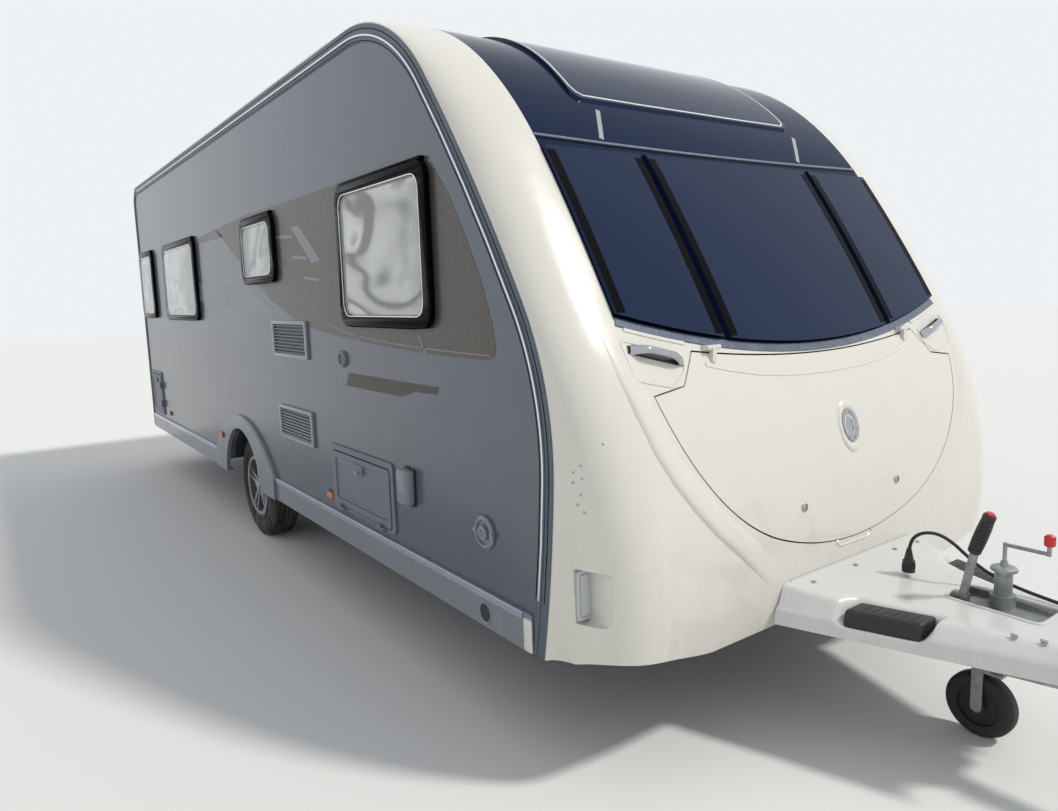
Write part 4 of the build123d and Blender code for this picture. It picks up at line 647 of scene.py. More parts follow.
def looks():
    """Every finish by name: its colour, then what differs from the usual values."""
    hues = colours()
    shell, skin, mask, bronze = (tuple(hue) for hue in (hues.shell, hues.skin, hues.mask, hues.bronze))
    return {
        "white_shell": dict(colour=shell, second=shade(shell, 0.95), rough=0.2, coat=0.7, patch=0.9, speck=12.0,
                            dust=0.09, dust_top=0.85, bump=0.02),
        # Side skin: its colour carries painted shade and painted sky reflection of a wall in shade
        "silver_skin": dict(colour=skin, second=shade(skin, 0.86), rough=0.22, spread=0.03, metallic=0.4,
                            specular=0.35, coat=0.15, patch=0.7, speck=8.0, waves=0.05, wave_scale=1.1, dust=0.4,
                            dust_top=0.75, bump=0.0),
        "dark_gloss": dict(colour=mask, rough=0.08, specular=0.05, bump=0.0),
        "front_acrylic": glass(shade(mask, 1.1), coat=0.0, specular=0.14),
        "side_acrylic": glass((0.30, 0.31, 0.31), rough=0.08, metallic=0.75, waves=0.12),
        "clear_acrylic": glass((0.90, 0.92, 0.92), rough=0.02, see_through=1.0, coat=0.0, specular=0.25),
        "bronze_vinyl": dict(colour=bronze, second=shade(bronze, 0.45), rough=0.3, metallic=0.3, coat=0.2,
                             patch=60.0, speck=220.0, amount=0.55, bump=0.05),
        "pale_vinyl": dict(colour=(0.20, 0.20, 0.225), rough=0.3, metallic=0.3, coat=0.2, bump=0.05),
        "dark_bronze": dict(colour=shade(bronze, 0.62), rough=0.3, coat=0.1, specular=0.25, bump=0.05),
        "silver_plastic": dict(colour=(0.20, 0.222, 0.262), rough=0.3, coat=0.4, dust=0.55, dust_top=0.7,
                               bump=0.12),
        "grey_plastic": dict(colour=(0.155, 0.18, 0.215), rough=0.4, bump=0.15, grain=500.0, dust=0.2),
        "grille_silver": dict(colour=(0.26, 0.285, 0.33), rough=0.3, coat=0.4, bump=0.1, dust=0.3),
        # Skirt beads: lighter and bluer than the skirt, a painted highlight on its top fold
        "painted_highlight_silver": dict(colour=(0.36, 0.41, 0.48), metallic=0.4, rough=0.22, coat=0.6, bump=0.03, dust=0.2),
        "black_plastic": dict(colour=(0.012, 0.012, 0.013), second=(0.03, 0.03, 0.03), rough=0.42, grain=700.0,
                              bump=0.3),
        "gloss_black": dict(colour=(0.002, 0.002, 0.003), rough=0.12, specular=0.04, bump=0.02),
        "floor_board": dict(colour=(0.03, 0.028, 0.025), second=(0.08, 0.07, 0.055), rough=0.8, patch=3.0,
                            grain=180.0, bump=0.5),
        "anodised_rail": dict(colour=(0.11, 0.135, 0.175), second=(0.07, 0.085, 0.115), metallic=0.4, rough=0.33,
                              patch=4.0, dust=0.3, bump=0.1),
        "bright_trim": dict(colour=(0.85, 0.86, 0.88), metallic=1.0, rough=0.14, spread=0.1, amount=0.3),
        # Chrome: dimmed and mottled with dark blue, painted dark reflections
        "chrome": dict(colour=(0.50, 0.52, 0.55), second=(0.12, 0.14, 0.18), metallic=1.0, rough=0.06,
                       spread=0.06, amount=0.3, bump=0.02),
        "galvanised_steel": dict(colour=(0.38, 0.40, 0.41), second=(0.25, 0.265, 0.27), metallic=0.75, rough=0.38,
                                 spread=0.25, patch=9.0, speck=45.0, amount=1.0, grain=120.0, bump=0.35,
                                 dust=0.35, dust_top=0.6),
        "cast_steel": dict(colour=(0.02, 0.02, 0.02), second=(0.09, 0.05, 0.03), rough=0.6, patch=6.0, amount=0.8,
                           grain=250.0, bump=0.6),
        "black_rubber": dict(colour=(0.012, 0.012, 0.012), second=(0.03, 0.03, 0.03), rough=0.6, grain=400.0,
                             bump=0.3),
        "tyre_rubber": dict(colour=(0.014, 0.014, 0.015), second=(0.045, 0.042, 0.038), rough=0.72, patch=7.0,
                            grain=350.0, bump=0.5, dust=0.6, dust_top=0.45),
        "alloy_rim": dict(colour=(0.50, 0.51, 0.53), metallic=0.85, rough=0.26, patch=8.0, dust=0.35,
                          dust_top=0.5),
        "white_cover": dict(colour=(0.64, 0.65, 0.635), second=(0.58, 0.59, 0.575), rough=0.26, coat=0.35,
                            bump=0.05, amount=0.5, dust=0.16, dust_top=0.55),
        "red_plastic": dict(colour=(0.62, 0.012, 0.02), rough=0.3, coat=0.4),
        "amber_lens": dict(colour=(0.75, 0.16, 0.01), rough=0.14, coat=1.0),
        "red_lens": dict(colour=(0.35, 0.006, 0.008), rough=0.12, coat=1.0),
        "clear_lens": dict(colour=(0.55, 0.57, 0.58), rough=0.12, coat=1.0, grain=120.0, bump=0.4),
        "blank_plate": dict(colour=(0.70, 0.50, 0.03), rough=0.35, coat=0.4),
        # Foil blinds: this bright and near-black pair stands for painted reflections; the base colour is then replaced
        # by bands of painted reflection
        "silver_blind": dict(colour=(0.66, 0.65, 0.61), second=(0.045, 0.045, 0.048), metallic=0.9, rough=0.10,
                             spread=0.1, patch=4.5, speck=9.0, amount=1.0, waves=0.6, wave_scale=6.0, bump=0.05),
        "silver_vinyl": dict(colour=(0.19, 0.20, 0.215), metallic=0.3, rough=0.25, coat=0.1, bump=0.03),
        "speckled_vinyl": dict(colour=(0.10, 0.11, 0.13), second=(0.55, 0.57, 0.60), rough=0.3, patch=260.0,
                               speck=420.0, amount=0.9, coat=0.7, bump=0.05),
        "seam_trim": dict(colour=(0.055, 0.075, 0.125), second=(0.16, 0.19, 0.26), rough=0.35, patch=30.0,
                          coat=0.5, metallic=0.2, bump=0.15),
        "pale_line": dict(colour=(0.78, 0.78, 0.74), rough=0.35, coat=0.3),
        "zinc": dict(colour=(0.45, 0.46, 0.47), metallic=0.9, rough=0.3, spread=0.2, patch=20.0, bump=0.15),
        "sealant": dict(colour=(0.16, 0.17, 0.19), rough=0.5),
        "rooflight_acrylic": dict(colour=(0.55, 0.57, 0.58), rough=0.16, coat=1.0),
    }


# Painted reflections of the blinds' wrinkled foil: where along the noise of its folds each painted bright or dark band
# lies, and the foil's warm tint
FOIL_REFLECTION_BANDS = [(0.34, 0.62), (0.40, 0.45), (0.44, 0.06), (0.47, 0.03), (0.50, 0.55), (0.545, 0.72), (0.58, 0.30),
              (0.61, 0.05), (0.65, 0.50), (0.72, 0.70)]
FOIL_TINT = (1.0, 0.98, 0.92)


def paint_foil_reflections(material):
    """Wrinkled foil: painted reflections, bands of bright and dark like what a wavy mirror shows."""
    made = grow(material.node_tree, {
        "where": ("TexCoord", {}, {}),
        "squeeze": ("Mapping", {}, {"Scale": (1.1, 1.0, 2.2)}),
        "folds": (NOISE, {}, {"Scale": 1.15, "Detail": 1.5, "Distortion": 1.1}),
        "bands": ("ValToRGB", {}, {}),
    }, """where.Object > squeeze.Vector
        squeeze.0 > folds.Vector
        folds.Fac > bands.Fac
        bands.Color > shader.Base Color""", shader=material.node_tree.nodes["Principled BSDF"])
    for place, bright in FOIL_REFLECTION_BANDS:
        made["bands"].color_ramp.elements.new(place).color = (*shade(FOIL_TINT, bright), 1)


def paint(name):
    """The named material, made the first time that it is asked for."""
    if name not in FINISHES:
        FINISHES[name] = finish(name, **looks()[name])
        # The blinds' base colour becomes bands of painted reflection
        if name == "silver_blind":
            paint_foil_reflections(FINISHES[name])
    return FINISHES[name]


# Studio: floor, sky, key light, and the camera at the photo's angle (turns in radians)
FLOOR_SIZE, FLOOR_DROP, FLOOR_ROUGH = 80, 0.0005, 0.85
SKY, BACKDROP = (0.93, 0.96, 1.0, 1), (0.86, 0.88, 0.90, 1)
KEY_COLOUR, KEY_FROM, KEY_SOFTNESS = (1.0, 0.96, 0.9), (0.50, 0.42, 0.76), 6
CAMERA_PLACE = (4.111, -2.434, 1.459)
CAMERA_YAW, CAMERA_PITCH, CAMERA_ROLL = 0.61560, -0.12932, -0.03401
CAMERA_LENS = dict(sensor_width=36.0, lens=26.211, shift_x=0.0064, shift_y=-0.0114, clip_start=0.05,
                   clip_end=200.0)


class CARAVAN_OT_stage(bpy.types.Operator):
    """Lays the studio floor and sets the lights and the camera"""
    bl_idname = "caravan.stage"
    bl_label = "Stage"

    def execute(self, context):
        scene = context.scene
        scene.view_settings.view_transform = "Standard"
        deselect()
        bpy.ops.mesh.primitive_plane_add(size=FLOOR_SIZE, location=(0, 0, -FLOOR_DROP))
        floor = context.object
        floor.name = "studio_floor"
        ground = bpy.data.materials.new("studio_floor")
        ground.use_nodes = True
        shader = ground.node_tree.nodes["Principled BSDF"]
        shader.inputs["Base Color"].default_value = (*colours().floor, 1)
        shader.inputs["Roughness"].default_value = FLOOR_ROUGH
        floor.data.materials.append(ground)

        world = bpy.data.worlds.new("studio")
        world.use_nodes = True
        scene.world = world
        light = world.node_tree.nodes["Background"]
        light.inputs["Color"].default_value = SKY
        light.inputs["Strength"].default_value = sizes().sky_strength
        greater = {"operation": "MAXIMUM"}
        grow(world.node_tree, {
            "seen": ("Background", {}, {"Color": BACKDROP, "Strength": 1.0}),
            "rays": ("LightPath", {}, {}),
            "either": ("Math", greater, {}),
            "shiny": ("Math", greater, {}),
            "mix": ("MixShader", {}, {}),
        }, """rays.Is Camera Ray > either.0
            rays.Is Transmission Ray > either.1
            either.0 > shiny.0
            rays.Is Glossy Ray > shiny.1
            shiny.0 > mix.Fac
            light.0 > mix.1
            seen.0 > mix.2
            mix.0 > output.Surface""", light=light, output=world.node_tree.nodes["World Output"])

        sun = bpy.data.lights.new("key", "SUN")
        sun.energy = sizes().sun_strength
        sun.angle = radians(KEY_SOFTNESS)
        sun.color = KEY_COLOUR
        lamp = bpy.data.objects.new("key", sun)
        lamp.rotation_mode = "QUATERNION"
        lamp.rotation_quaternion = Vector(KEY_FROM).to_track_quat("Z", "Y")
        scene.collection.objects.link(lamp)

        ahead = Vector((-cos(CAMERA_YAW) * cos(CAMERA_PITCH), sin(CAMERA_YAW) * cos(CAMERA_PITCH),
                        sin(CAMERA_PITCH)))
        right = ahead.cross(Vector(UP)).normalized()
        up = right.cross(ahead)
        across = right * cos(CAMERA_ROLL) + up * sin(CAMERA_ROLL)
        upright = up * cos(CAMERA_ROLL) - right * sin(CAMERA_ROLL)
        camera = bpy.data.cameras.new("camera")
        for key, value in CAMERA_LENS.items():
            setattr(camera, key, value)
        viewer = bpy.data.objects.new("camera", camera)
        turn = Matrix((across, upright, -ahead)).transposed().to_4x4()
        viewer.matrix_world = Matrix.Translation(CAMERA_PLACE) @ turn
        scene.collection.objects.link(viewer)
        scene.camera = viewer
        return {"FINISHED"}


class CARAVAN_OT_finishes(bpy.types.Operator):
    """Gives every part of the frame its finish"""
    bl_idname = "caravan.finishes"
    bl_label = "Finishes"

    def execute(self, context):
        slots = {part["node"]: part["material_slot"] for part in frame["record"]["subparts"]}
        other_names = {"bright_chrome": "chrome"}
        for name, node in NODES.items():
            slot = slots[name]
            node.data.materials.clear()
            node.data.materials.append(paint(other_names.get(slot, slot)))
        return {"FINISHED"}


# Route of the parked lead, from the plug's top to its gland, and the plug: (radius, height), then its grip ribs
LEAD_ROUTE = [
    (2.832, 0.020, 0.556), (2.832, 0.020, 0.600), (2.858, 0.035, 0.634), (2.902, 0.060, 0.638),
    (2.942, 0.083, 0.610), (2.978, 0.105, 0.568), (3.018, 0.126, 0.530), (3.068, 0.141, 0.504),
    (3.128, 0.150, 0.488), (3.192, 0.148, 0.481), (3.256, 0.136, 0.479), (3.316, 0.116, 0.478),
]
PLUG_PROFILE = [
    (0.0, 0.0), (0.0205, 0.0), (0.0205, 0.006), (0.0180, 0.008), (0.0180, 0.030), (0.0195, 0.032),
    (0.0195, 0.038), (0.0150, 0.042), (0.0110, 0.062), (0.0085, 0.074), (0.0070, 0.080), (0.0, 0.080),
]
PLUG_RIB = ((-0.0015, -0.0212, 0.009), (0.0015, 0.0212, 0.029), 0.0006)
PLUG_RIBS = 4


class CARAVAN_OT_lead(bpy.types.Operator):
    """Lays the lead from its parked plug to its gland on the drawbar cover"""
    bl_idname = "caravan.lead"
    bl_label = "Parked lead"

    def execute(self, context):
        lead = round_bar("parked_lead", LEAD_ROUTE, sizes().lead_diameter / 2, 6, 10)
        lead.data.materials.append(paint("black_rubber"))
        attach(lead, "caravan")
        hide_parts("lead")

        foot = Vector((*LEAD_ROUTE[0][:2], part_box("lead_plug")[0].z))
        parts = [turned(PLUG_PROFILE, foot, UP, 32)]
        for step in range(PLUG_RIBS):
            rib = block(*PLUG_RIB)
            rib.data.transform(Matrix.Translation(foot) @ Matrix.Rotation(pi * step / PLUG_RIBS, 4, "Z"))
            parts.append(rib)
        plug = finished(parts, "parked_plug", "black_plastic")
        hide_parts("lead_plug")
        return {"FINISHED"}


# Side windows: x from, x to, z from, z to; the nearside has the first and the third of them
WINDOWS = [(0.988, 1.771, 1.345, 1.923), (-0.418, 0.148, 1.557, 1.912), (-2.585, -1.546, 1.345, 1.916),
           (-3.580, -3.025, 1.354, 1.916)]
NEARSIDE_WINDOWS = WINDOWS[::2]
# Their frame: corner radii, thickness, height off the wall, edge rounding, and where its front lies
FRAME_CORNER, PANE_CORNER, FRAME_DEPTH, FRAME_OUT, FRAME_EDGE = 0.075, 0.060, 0.020, 0.0145, 0.003
FRAME_FRONT = WALL + 0.023
# Hinge rail over a window: in from its ends, below and above its top, off the wall from and to, bevel
HINGE_IN, HINGE_DOWN, HINGE_UP, HINGE_OUT, HINGE_BEVEL = 0.030, 0.004, 0.010, (-0.001, 0.020), 0.004
# Layers in the frame: reach under its inner edge, corner radius, thickness, height off the wall
TRIM_OUTER, TRIM_INNER, TRIM_DEPTH, TRIM_OUT = (0.004, 0.062), (0.0005, 0.060), 0.003, 0.0250
PANE_REACH, PANE_DEPTH, PANE_OUT = 0.002, 0.003, 0.0205
BLIND_CORNER, BLIND_DEPTH, BLIND_OUT = 0.055, 0.006, 0.0065
BLIND_FRONT = WALL + 0.009
BLIND_STEPS = [(0.012, 0.004), (0.006, -0.0015)]


class CARAVAN_OT_side_windows(bpy.types.Operator):
    """Side windows: black edged acrylic panes over silver blinds with painted reflections of wrinkled foil"""
    bl_idname = "caravan.side_windows"
    bl_label = "Side windows"

    def execute(self, context):
        border = sizes().border_width
        frames, lines, panes, blinds = [], [], [], []
        for side, box in [(-1, box) for box in WINDOWS] + [(1, box) for box in NEARSIDE_WINDOWS]:
            frames.append(sheet([rounded(box, 0, FRAME_CORNER), rounded(box, border, PANE_CORNER)], FRAME_DEPTH,
                                wall_place(side, FRAME_OUT)))
            edit(frames[-1], lambda place, way: abs(place.y) > FRAME_FRONT, "EDGE")
            bpy.ops.mesh.bevel(offset=FRAME_EDGE, segments=2, affect="EDGES")
            leave()
            rail = (box[0] + HINGE_IN, box[1] - HINGE_IN, box[3] - HINGE_DOWN, box[3] + HINGE_UP)
            frames.append(wall_block(side, rail, *HINGE_OUT, HINGE_BEVEL))
            lines.append(sheet([rounded(box, border - reach, radius) for reach, radius in (TRIM_OUTER, TRIM_INNER)],
                               TRIM_DEPTH, wall_place(side, TRIM_OUT)))
            panes.append(sheet([rounded(box, border - PANE_REACH, PANE_CORNER)], PANE_DEPTH,
                               wall_place(side, PANE_OUT)))
            blind = sheet([rounded(box, border - PANE_REACH, BLIND_CORNER)], BLIND_DEPTH,
                          wall_place(side, BLIND_OUT))
            edit(blind, lambda place, way: abs(place.y) > BLIND_FRONT)
            for inset, out in BLIND_STEPS:
                bpy.ops.mesh.inset(thickness=inset, depth=out)
            leave()
            blinds.append(blind)
        frame_piece = finished(frames, "side_window_frames", "gloss_black", "side_acrylic")
        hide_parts("side_windows")
        finished(lines, "side_window_trims", "bright_trim", "side_acrylic")
        finished(panes, "side_window_panes", "clear_acrylic", "side_acrylic")
        finished(blinds, "side_window_blinds", "silver_blind", "side_acrylic")
        return {"FINISHED"}


# Decals on the walls, as (x, z)
SWOOSH = [
    (1.731, 1.932), (1.812, 1.875), (1.899, 1.778), (1.990, 1.638), (2.066, 1.505), (2.120, 1.370),
    (2.136, 1.295), (2.125, 1.264), (2.089, 1.254), (1.823, 1.255), (1.514, 1.264), (1.141, 1.283),
    (0.807, 1.305), (0.550, 1.330), (0.275, 1.385), (-0.009, 1.469), (-0.562, 1.712), (-0.993, 1.915),
    (-0.448, 1.942), (0.091, 1.939), (0.532, 1.937), (0.956, 1.937), (1.700, 1.938),
]
DARK_FLASH = [(-1.547, 1.897), (-0.992, 1.920), (-0.848, 1.861), (-1.480, 1.864)]
TAIL_BAND = [(-1.546, 1.600), (-0.590, 1.560), (-0.120, 1.470), (0.060, 1.395), (-0.300, 1.400), (-1.546, 1.480)]
PALE_BARS = [
    [(0.131, 1.776), (0.397, 1.762), (0.400, 1.774), (0.134, 1.788)],
    [(0.376, 1.664), (0.563, 1.649), (0.572, 1.660), (0.387, 1.676)],
    [(0.508, 1.561), (0.704, 1.544), (0.713, 1.554), (0.511, 1.572)],
    [(0.630, 1.628), (0.741, 1.635), (0.492, 1.811), (0.380, 1.812)],
    [(1.627, 1.324), (1.640, 1.324), (1.690, 1.259), (1.677, 1.259)],
    [(1.083, 1.320), (1.093, 1.320), (1.121, 1.284), (1.111, 1.284)],
]
PALE_LINE = [(0.111, 1.689), (0.316, 1.570), (0.448, 1.505), (0.597, 1.421), (0.766, 1.357), (0.928, 1.323),
             (1.081, 1.307), (1.411, 1.285), (1.677, 1.276), (1.920, 1.271), (2.100, 1.269)]
PALE_LINE_HALF = 0.0022
STEPPED_BAR = [(0.980, 1.145), (1.403, 1.143), (1.769, 1.143), (1.752, 1.116), (1.588, 1.112), (1.475, 1.084),
               (0.941, 1.086)]
# The nearside's decals end behind the door
NEARSIDE_CUT, NEARSIDE_FROM = 0.60, 0.62


class CARAVAN_OT_decals(bpy.types.Operator):
    """Vinyl decals: the bronze sweep, its pale lines and the stepped bar"""
    bl_idname = "caravan.decals"
    bl_label = "Side decals"

    def execute(self, context):
        proud = sizes().decal_proud
        first, second = proud / 2, proud * 1.6
        bronze, pale = [], []
        for side in SIDES:
            plate = sheet([SWOOSH], proud, wall_place(side, first))
            if side > 0:
                edit(plate)
                bpy.ops.mesh.bisect(plane_co=(NEARSIDE_CUT, 0, 0), plane_no=(1, 0, 0), clear_inner=True,
                                    use_fill=True)
                leave()
            bronze.append(plate)
            shown = lambda point: side < 0 or point[0] > NEARSIDE_FROM
            loops = [bar for bar in PALE_BARS if shown(bar[0])]
            loops.append(flat_line([point for point in PALE_LINE if shown(point)], PALE_LINE_HALF))
            pale += [sheet([loop], proud, wall_place(side, second)) for loop in loops]
        flash, tail, bar = (sheet([loop], proud, wall_place(-1, first))
                            for loop in (DARK_FLASH, TAIL_BAND, STEPPED_BAR))
        finished([bar], "stepped_bar_decal", "dark_bronze", "silver_skin")
        finished(bronze + [flash], "bronze_decals", "bronze_vinyl", "silver_skin")
        finished(pale, "pale_decals", "pale_vinyl", "silver_skin")
        finished([tail], "silver_decals", "silver_vinyl", "silver_skin")
        return {"FINISHED"}


# Edge of the awning rails from the roof down: start (x, z), (radius, turn) of each arc, and x along the roof
RAIL_START = (1.150, 2.500)
RAIL_ARCS = [(0.778, 51.6), (6.640, 4.0), (6.640, 4.0), (0.940, 34.0), (4.400, 7.2)]
RAIL_BACK = (-3.45, -2.3, -1.2, 0.0)
RAIL_CLEAR = 0.01
# Lines along them: inset from that edge, width, how proud
RAIL_BEAD = (0.045, 0.0065, 0.0014)
# The grooves are drawn as proud black strips, painted shade
RAIL_GROOVES = [(0.064, 0.004, 0.0009), (0.022, 0.004, 0.0009)]
GROOVE_Y = 1.134


class CARAVAN_OT_rails(bpy.types.Operator):
    """Bright bead along the awning rails, and black strips along their grooves as painted shade"""
    bl_idname = "caravan.rails"
    bl_label = "Awning rail inserts"

    def rail_line(self, side, y, inset, width, proud):
        line = arc_line(RAIL_START, RAIL_ARCS, inset)
        line = [point for point in line if point[1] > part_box("awning_rails")[0].z + RAIL_CLEAR]
        back = [(x, line[0][1]) for x in RAIL_BACK]
        return ribbon([(Vector((x, side * y, z)), Vector((0, side, 0))) for x, z in back + line], width, proud)

    def execute(self, context):
        bead_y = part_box("awning_rails")[1].y
        beads = [self.rail_line(side, bead_y, *RAIL_BEAD) for side in SIDES]
        # Black strips along the rails' grooves: painted shade
        grooves = [self.rail_line(side, GROOVE_Y, *groove) for side in SIDES for groove in RAIL_GROOVES]
        finished(beads, "rail_beads", "bright_trim", "anodised_rail")
        finished(grooves, "rail_groove_shade", "gloss_black", "anodised_rail")
        return {"FINISHED"}


# Front mask. Panes: y from, y to. Sill: heights at the middle and at half the mask's width
FRONT_PANES = [(-0.900, -0.487), (-0.455, 0.455), (0.487, 0.900)]
PANE_TOP = 1.909
SILL_MIDDLE, SILL_RISE, SILL_HALF = 1.250, 0.134, 0.930
PANE_EDGE_IN, PANE_EDGE_UP, PANE_EDGE_SPANS = 0.017, 0.022, 24
# Seam over the panes, as (y, z), and the black line below it
MASK_SEAM = [(y, 1.9535 + 0.012 * (y / 0.9) ** 2) for y in (-0.905, -0.6, -0.3, 0.0, 0.3, 0.6, 0.905)]
SEAM_STEP, UNDER_SEAM = 0.05, 0.011
# The roof window's line, as (x, y): down one side, half the front, and its middle step
BOW = [(1.25, -0.552), (1.40, -0.567), (1.60, -0.583), (1.80, -0.599), (1.875, -0.602), (1.900, -0.592)]
NOSE = [(1.9135, -0.570), (1.9165, -0.3), (1.9165, 0.0), (1.9165, 0.3), (1.9135, 0.570)]
STRIPS = [[(1.952, -0.535), (2.0525, -0.608)], [(1.952, 0.607), (2.055, 0.497)]]
# Beads along the sill: half length, spans, then below the sill, width, how proud
SILL_BEAD_HALF, SILL_BEAD_SPANS = 0.905, 36
SILL_TRIM, SILL_SEAL = (0.010, 0.030, 0.0040), (-0.010, 0.008, 0.0030)


def sill_height(y):
    return SILL_MIDDLE + SILL_RISE * (y / SILL_HALF) ** 2


class CARAVAN_OT_front_trim(bpy.types.Operator):
    """Seams, seals, strips and sill trim of the dark front mask"""
    bl_idname = "caravan.front_trim"
    bl_label = "Front mask trim"

    def sill_bead(self, drop, width, proud):
        line = [(y, sill_height(y) - drop) for y in spread(-SILL_BEAD_HALF, SILL_BEAD_HALF, SILL_BEAD_SPANS)]
        return front_bead(line, (PANEL, MASK, PANES), width, proud)

    def execute(self, context):
        seam = in_between(MASK_SEAM, SEAM_STEP)
        trim = [front_bead(seam, (MASK, PANEL), 0.011, 0.0022), self.sill_bead(*SILL_TRIM)]
        seals = [front_bead([(y, z - UNDER_SEAM) for y, z in seam], (MASK, PANEL, PANES), 0.008, 0.0012)]
        for low, high in FRONT_PANES:
            for y in (low + PANE_EDGE_IN, high - PANE_EDGE_IN):
                heights = spread(sill_height(y) + PANE_EDGE_UP, PANE_TOP, PANE_EDGE_SPANS)
                seals.append(front_bead([(y, z) for z in heights], (PANES,), 0.034, 0.0006))
        seals.append(self.sill_bead(*SILL_SEAL))
        route = BOW + NOSE + [(x, -y) for x, y in reversed(BOW)]
        line = top_bead(in_between(route, 0.04), ROOF_WINDOW, 0.0075, 0.0012)
        strips = [top_bead(in_between(strip, 0.02), MASK, 0.019, 0.0008) for strip in STRIPS]
        finished(trim, "mask_seams", "seam_trim", "dark_gloss")
        finished([line], "roof_window_line", "pale_line", "dark_gloss")
        finished(seals, "pane_seals", "gloss_black", "dark_gloss")
        finished(strips, "speckled_strips", "speckled_vinyl", "dark_gloss")
        return {"FINISHED"}


# Below the sill: ridge beside the lid and the lid's crease on one half, as y or (y, z)
RIDGE_Y, RIDGE_DROP = (0.66, 0.72, 0.78, 0.84, 0.885), 0.028
LID_CREASE = [(0.600, 1.222), (0.500, 1.199), (0.368, 1.176), (0.240, 1.163), (0.120, 1.158), (0.0, 1.156)]
# Bare oval badge at (y, z): how oval, its boss and the moulded rim round it, as (radius, height)
BADGE_PLACE, BADGE_OVAL = (0.039, 0.962), 0.72
BADGE_BOSS = [(0.0, -0.002), (0.058, -0.002), (0.060, 0.004), (0.057, 0.0075), (0.052, 0.008), (0.048, 0.006),
              (0.046, 0.002), (0.034, -0.0005), (0.022, 0.002), (0.012, 0.0055), (0.0, 0.0068)]
BADGE_RIM = [(0.055, -0.002), (0.058, 0.0010), (0.070, 0.0040), (0.080, 0.0050), (0.088, 0.0030), (0.094, -0.002)]
LID_LOCKS = [(-0.280, 0.735), (0.280, 0.735)]
LOCK_STEPS = [(0.004, 0.0), (0.0015, -0.002), (0.003, 0.001)]
FINGER_RECESS = [(-0.112, 0.584, 0.012), (-0.090, 0.563, 0.022), (0.090, 0.563, 0.022), (0.112, 0.584, 0.012)]
# Front grab handle, its gasket and its moulded pocket on the nearside, as (y, z)
GRAB_HANDLE = [(0.890, 1.285), (0.700, 1.236)]
GRAB_GASKET = [(0.897, 1.287), (0.693, 1.234)]
GRAB_POCKET = [(0.915, 1.315), (0.682, 1.256), (0.700, 1.207), (0.765, 1.168), (0.905, 1.200)]
POCKET_CORNER = 0.022
# The handle's section: half across, half deep, how far it stands off. Then how steeply its ends rise, and sides
GRAB_SECTION = (0.012, 0.008, 0.034)
GRAB_RISE, GRAB_SIDES = 3.2, 16
# Rear grab bars: y, foot and top, how far they stand off, bend, radius
REAR_BAR_Y, REAR_BAR_Z, REAR_BAR_OUT, REAR_BAR_BEND, REAR_BAR_RADIUS = 1.010, (1.150, 1.330), 0.034, 0.020, 0.0088
# Screws in the front corners as (y, z), found by lines that come in at a slant
FRONT_SCREWS = ((1.124, 0.960), (1.095, 0.981), (1.010, 1.041), (1.126, 0.931), (1.092, 0.944), (1.098, 0.899),
                (1.110, 0.870), (1.085, 0.850))
SCREW_FROM_X, SCREW_SLANT = 3.6, 0.9


def moulded_bar(line, half_across, half_deep, stand):
    """A bowed handle over (place, normal) pairs: it leaves the surface at both ends and stands off between."""
    rows = []
    count = len(line) - 1
    turns = [2 * pi * k / GRAB_SIDES for k in range(GRAB_SIDES + 1)]
    for i, (place, normal) in enumerate(line):
        along = (line[min(i + 1, count)][0] - line[max(i - 1, 0)][0]).normalized()
        across = normal.cross(along).normalized()
        share = i / count
        rise = min(1.0, GRAB_RISE * min(share, 1 - share))
        height = stand * sin(rise * pi / 2) - half_deep * 0.6
        flare, swell = 1.0 + 0.35 * (1 - rise), 1.0 + 0.5 * (1 - rise)
        rows.append([place + normal * (height + half_deep * sin(turn) * swell)
                     + across * half_across * flare * cos(turn) for turn in turns])
    return lay_grid(rows, around=True, capped=True)


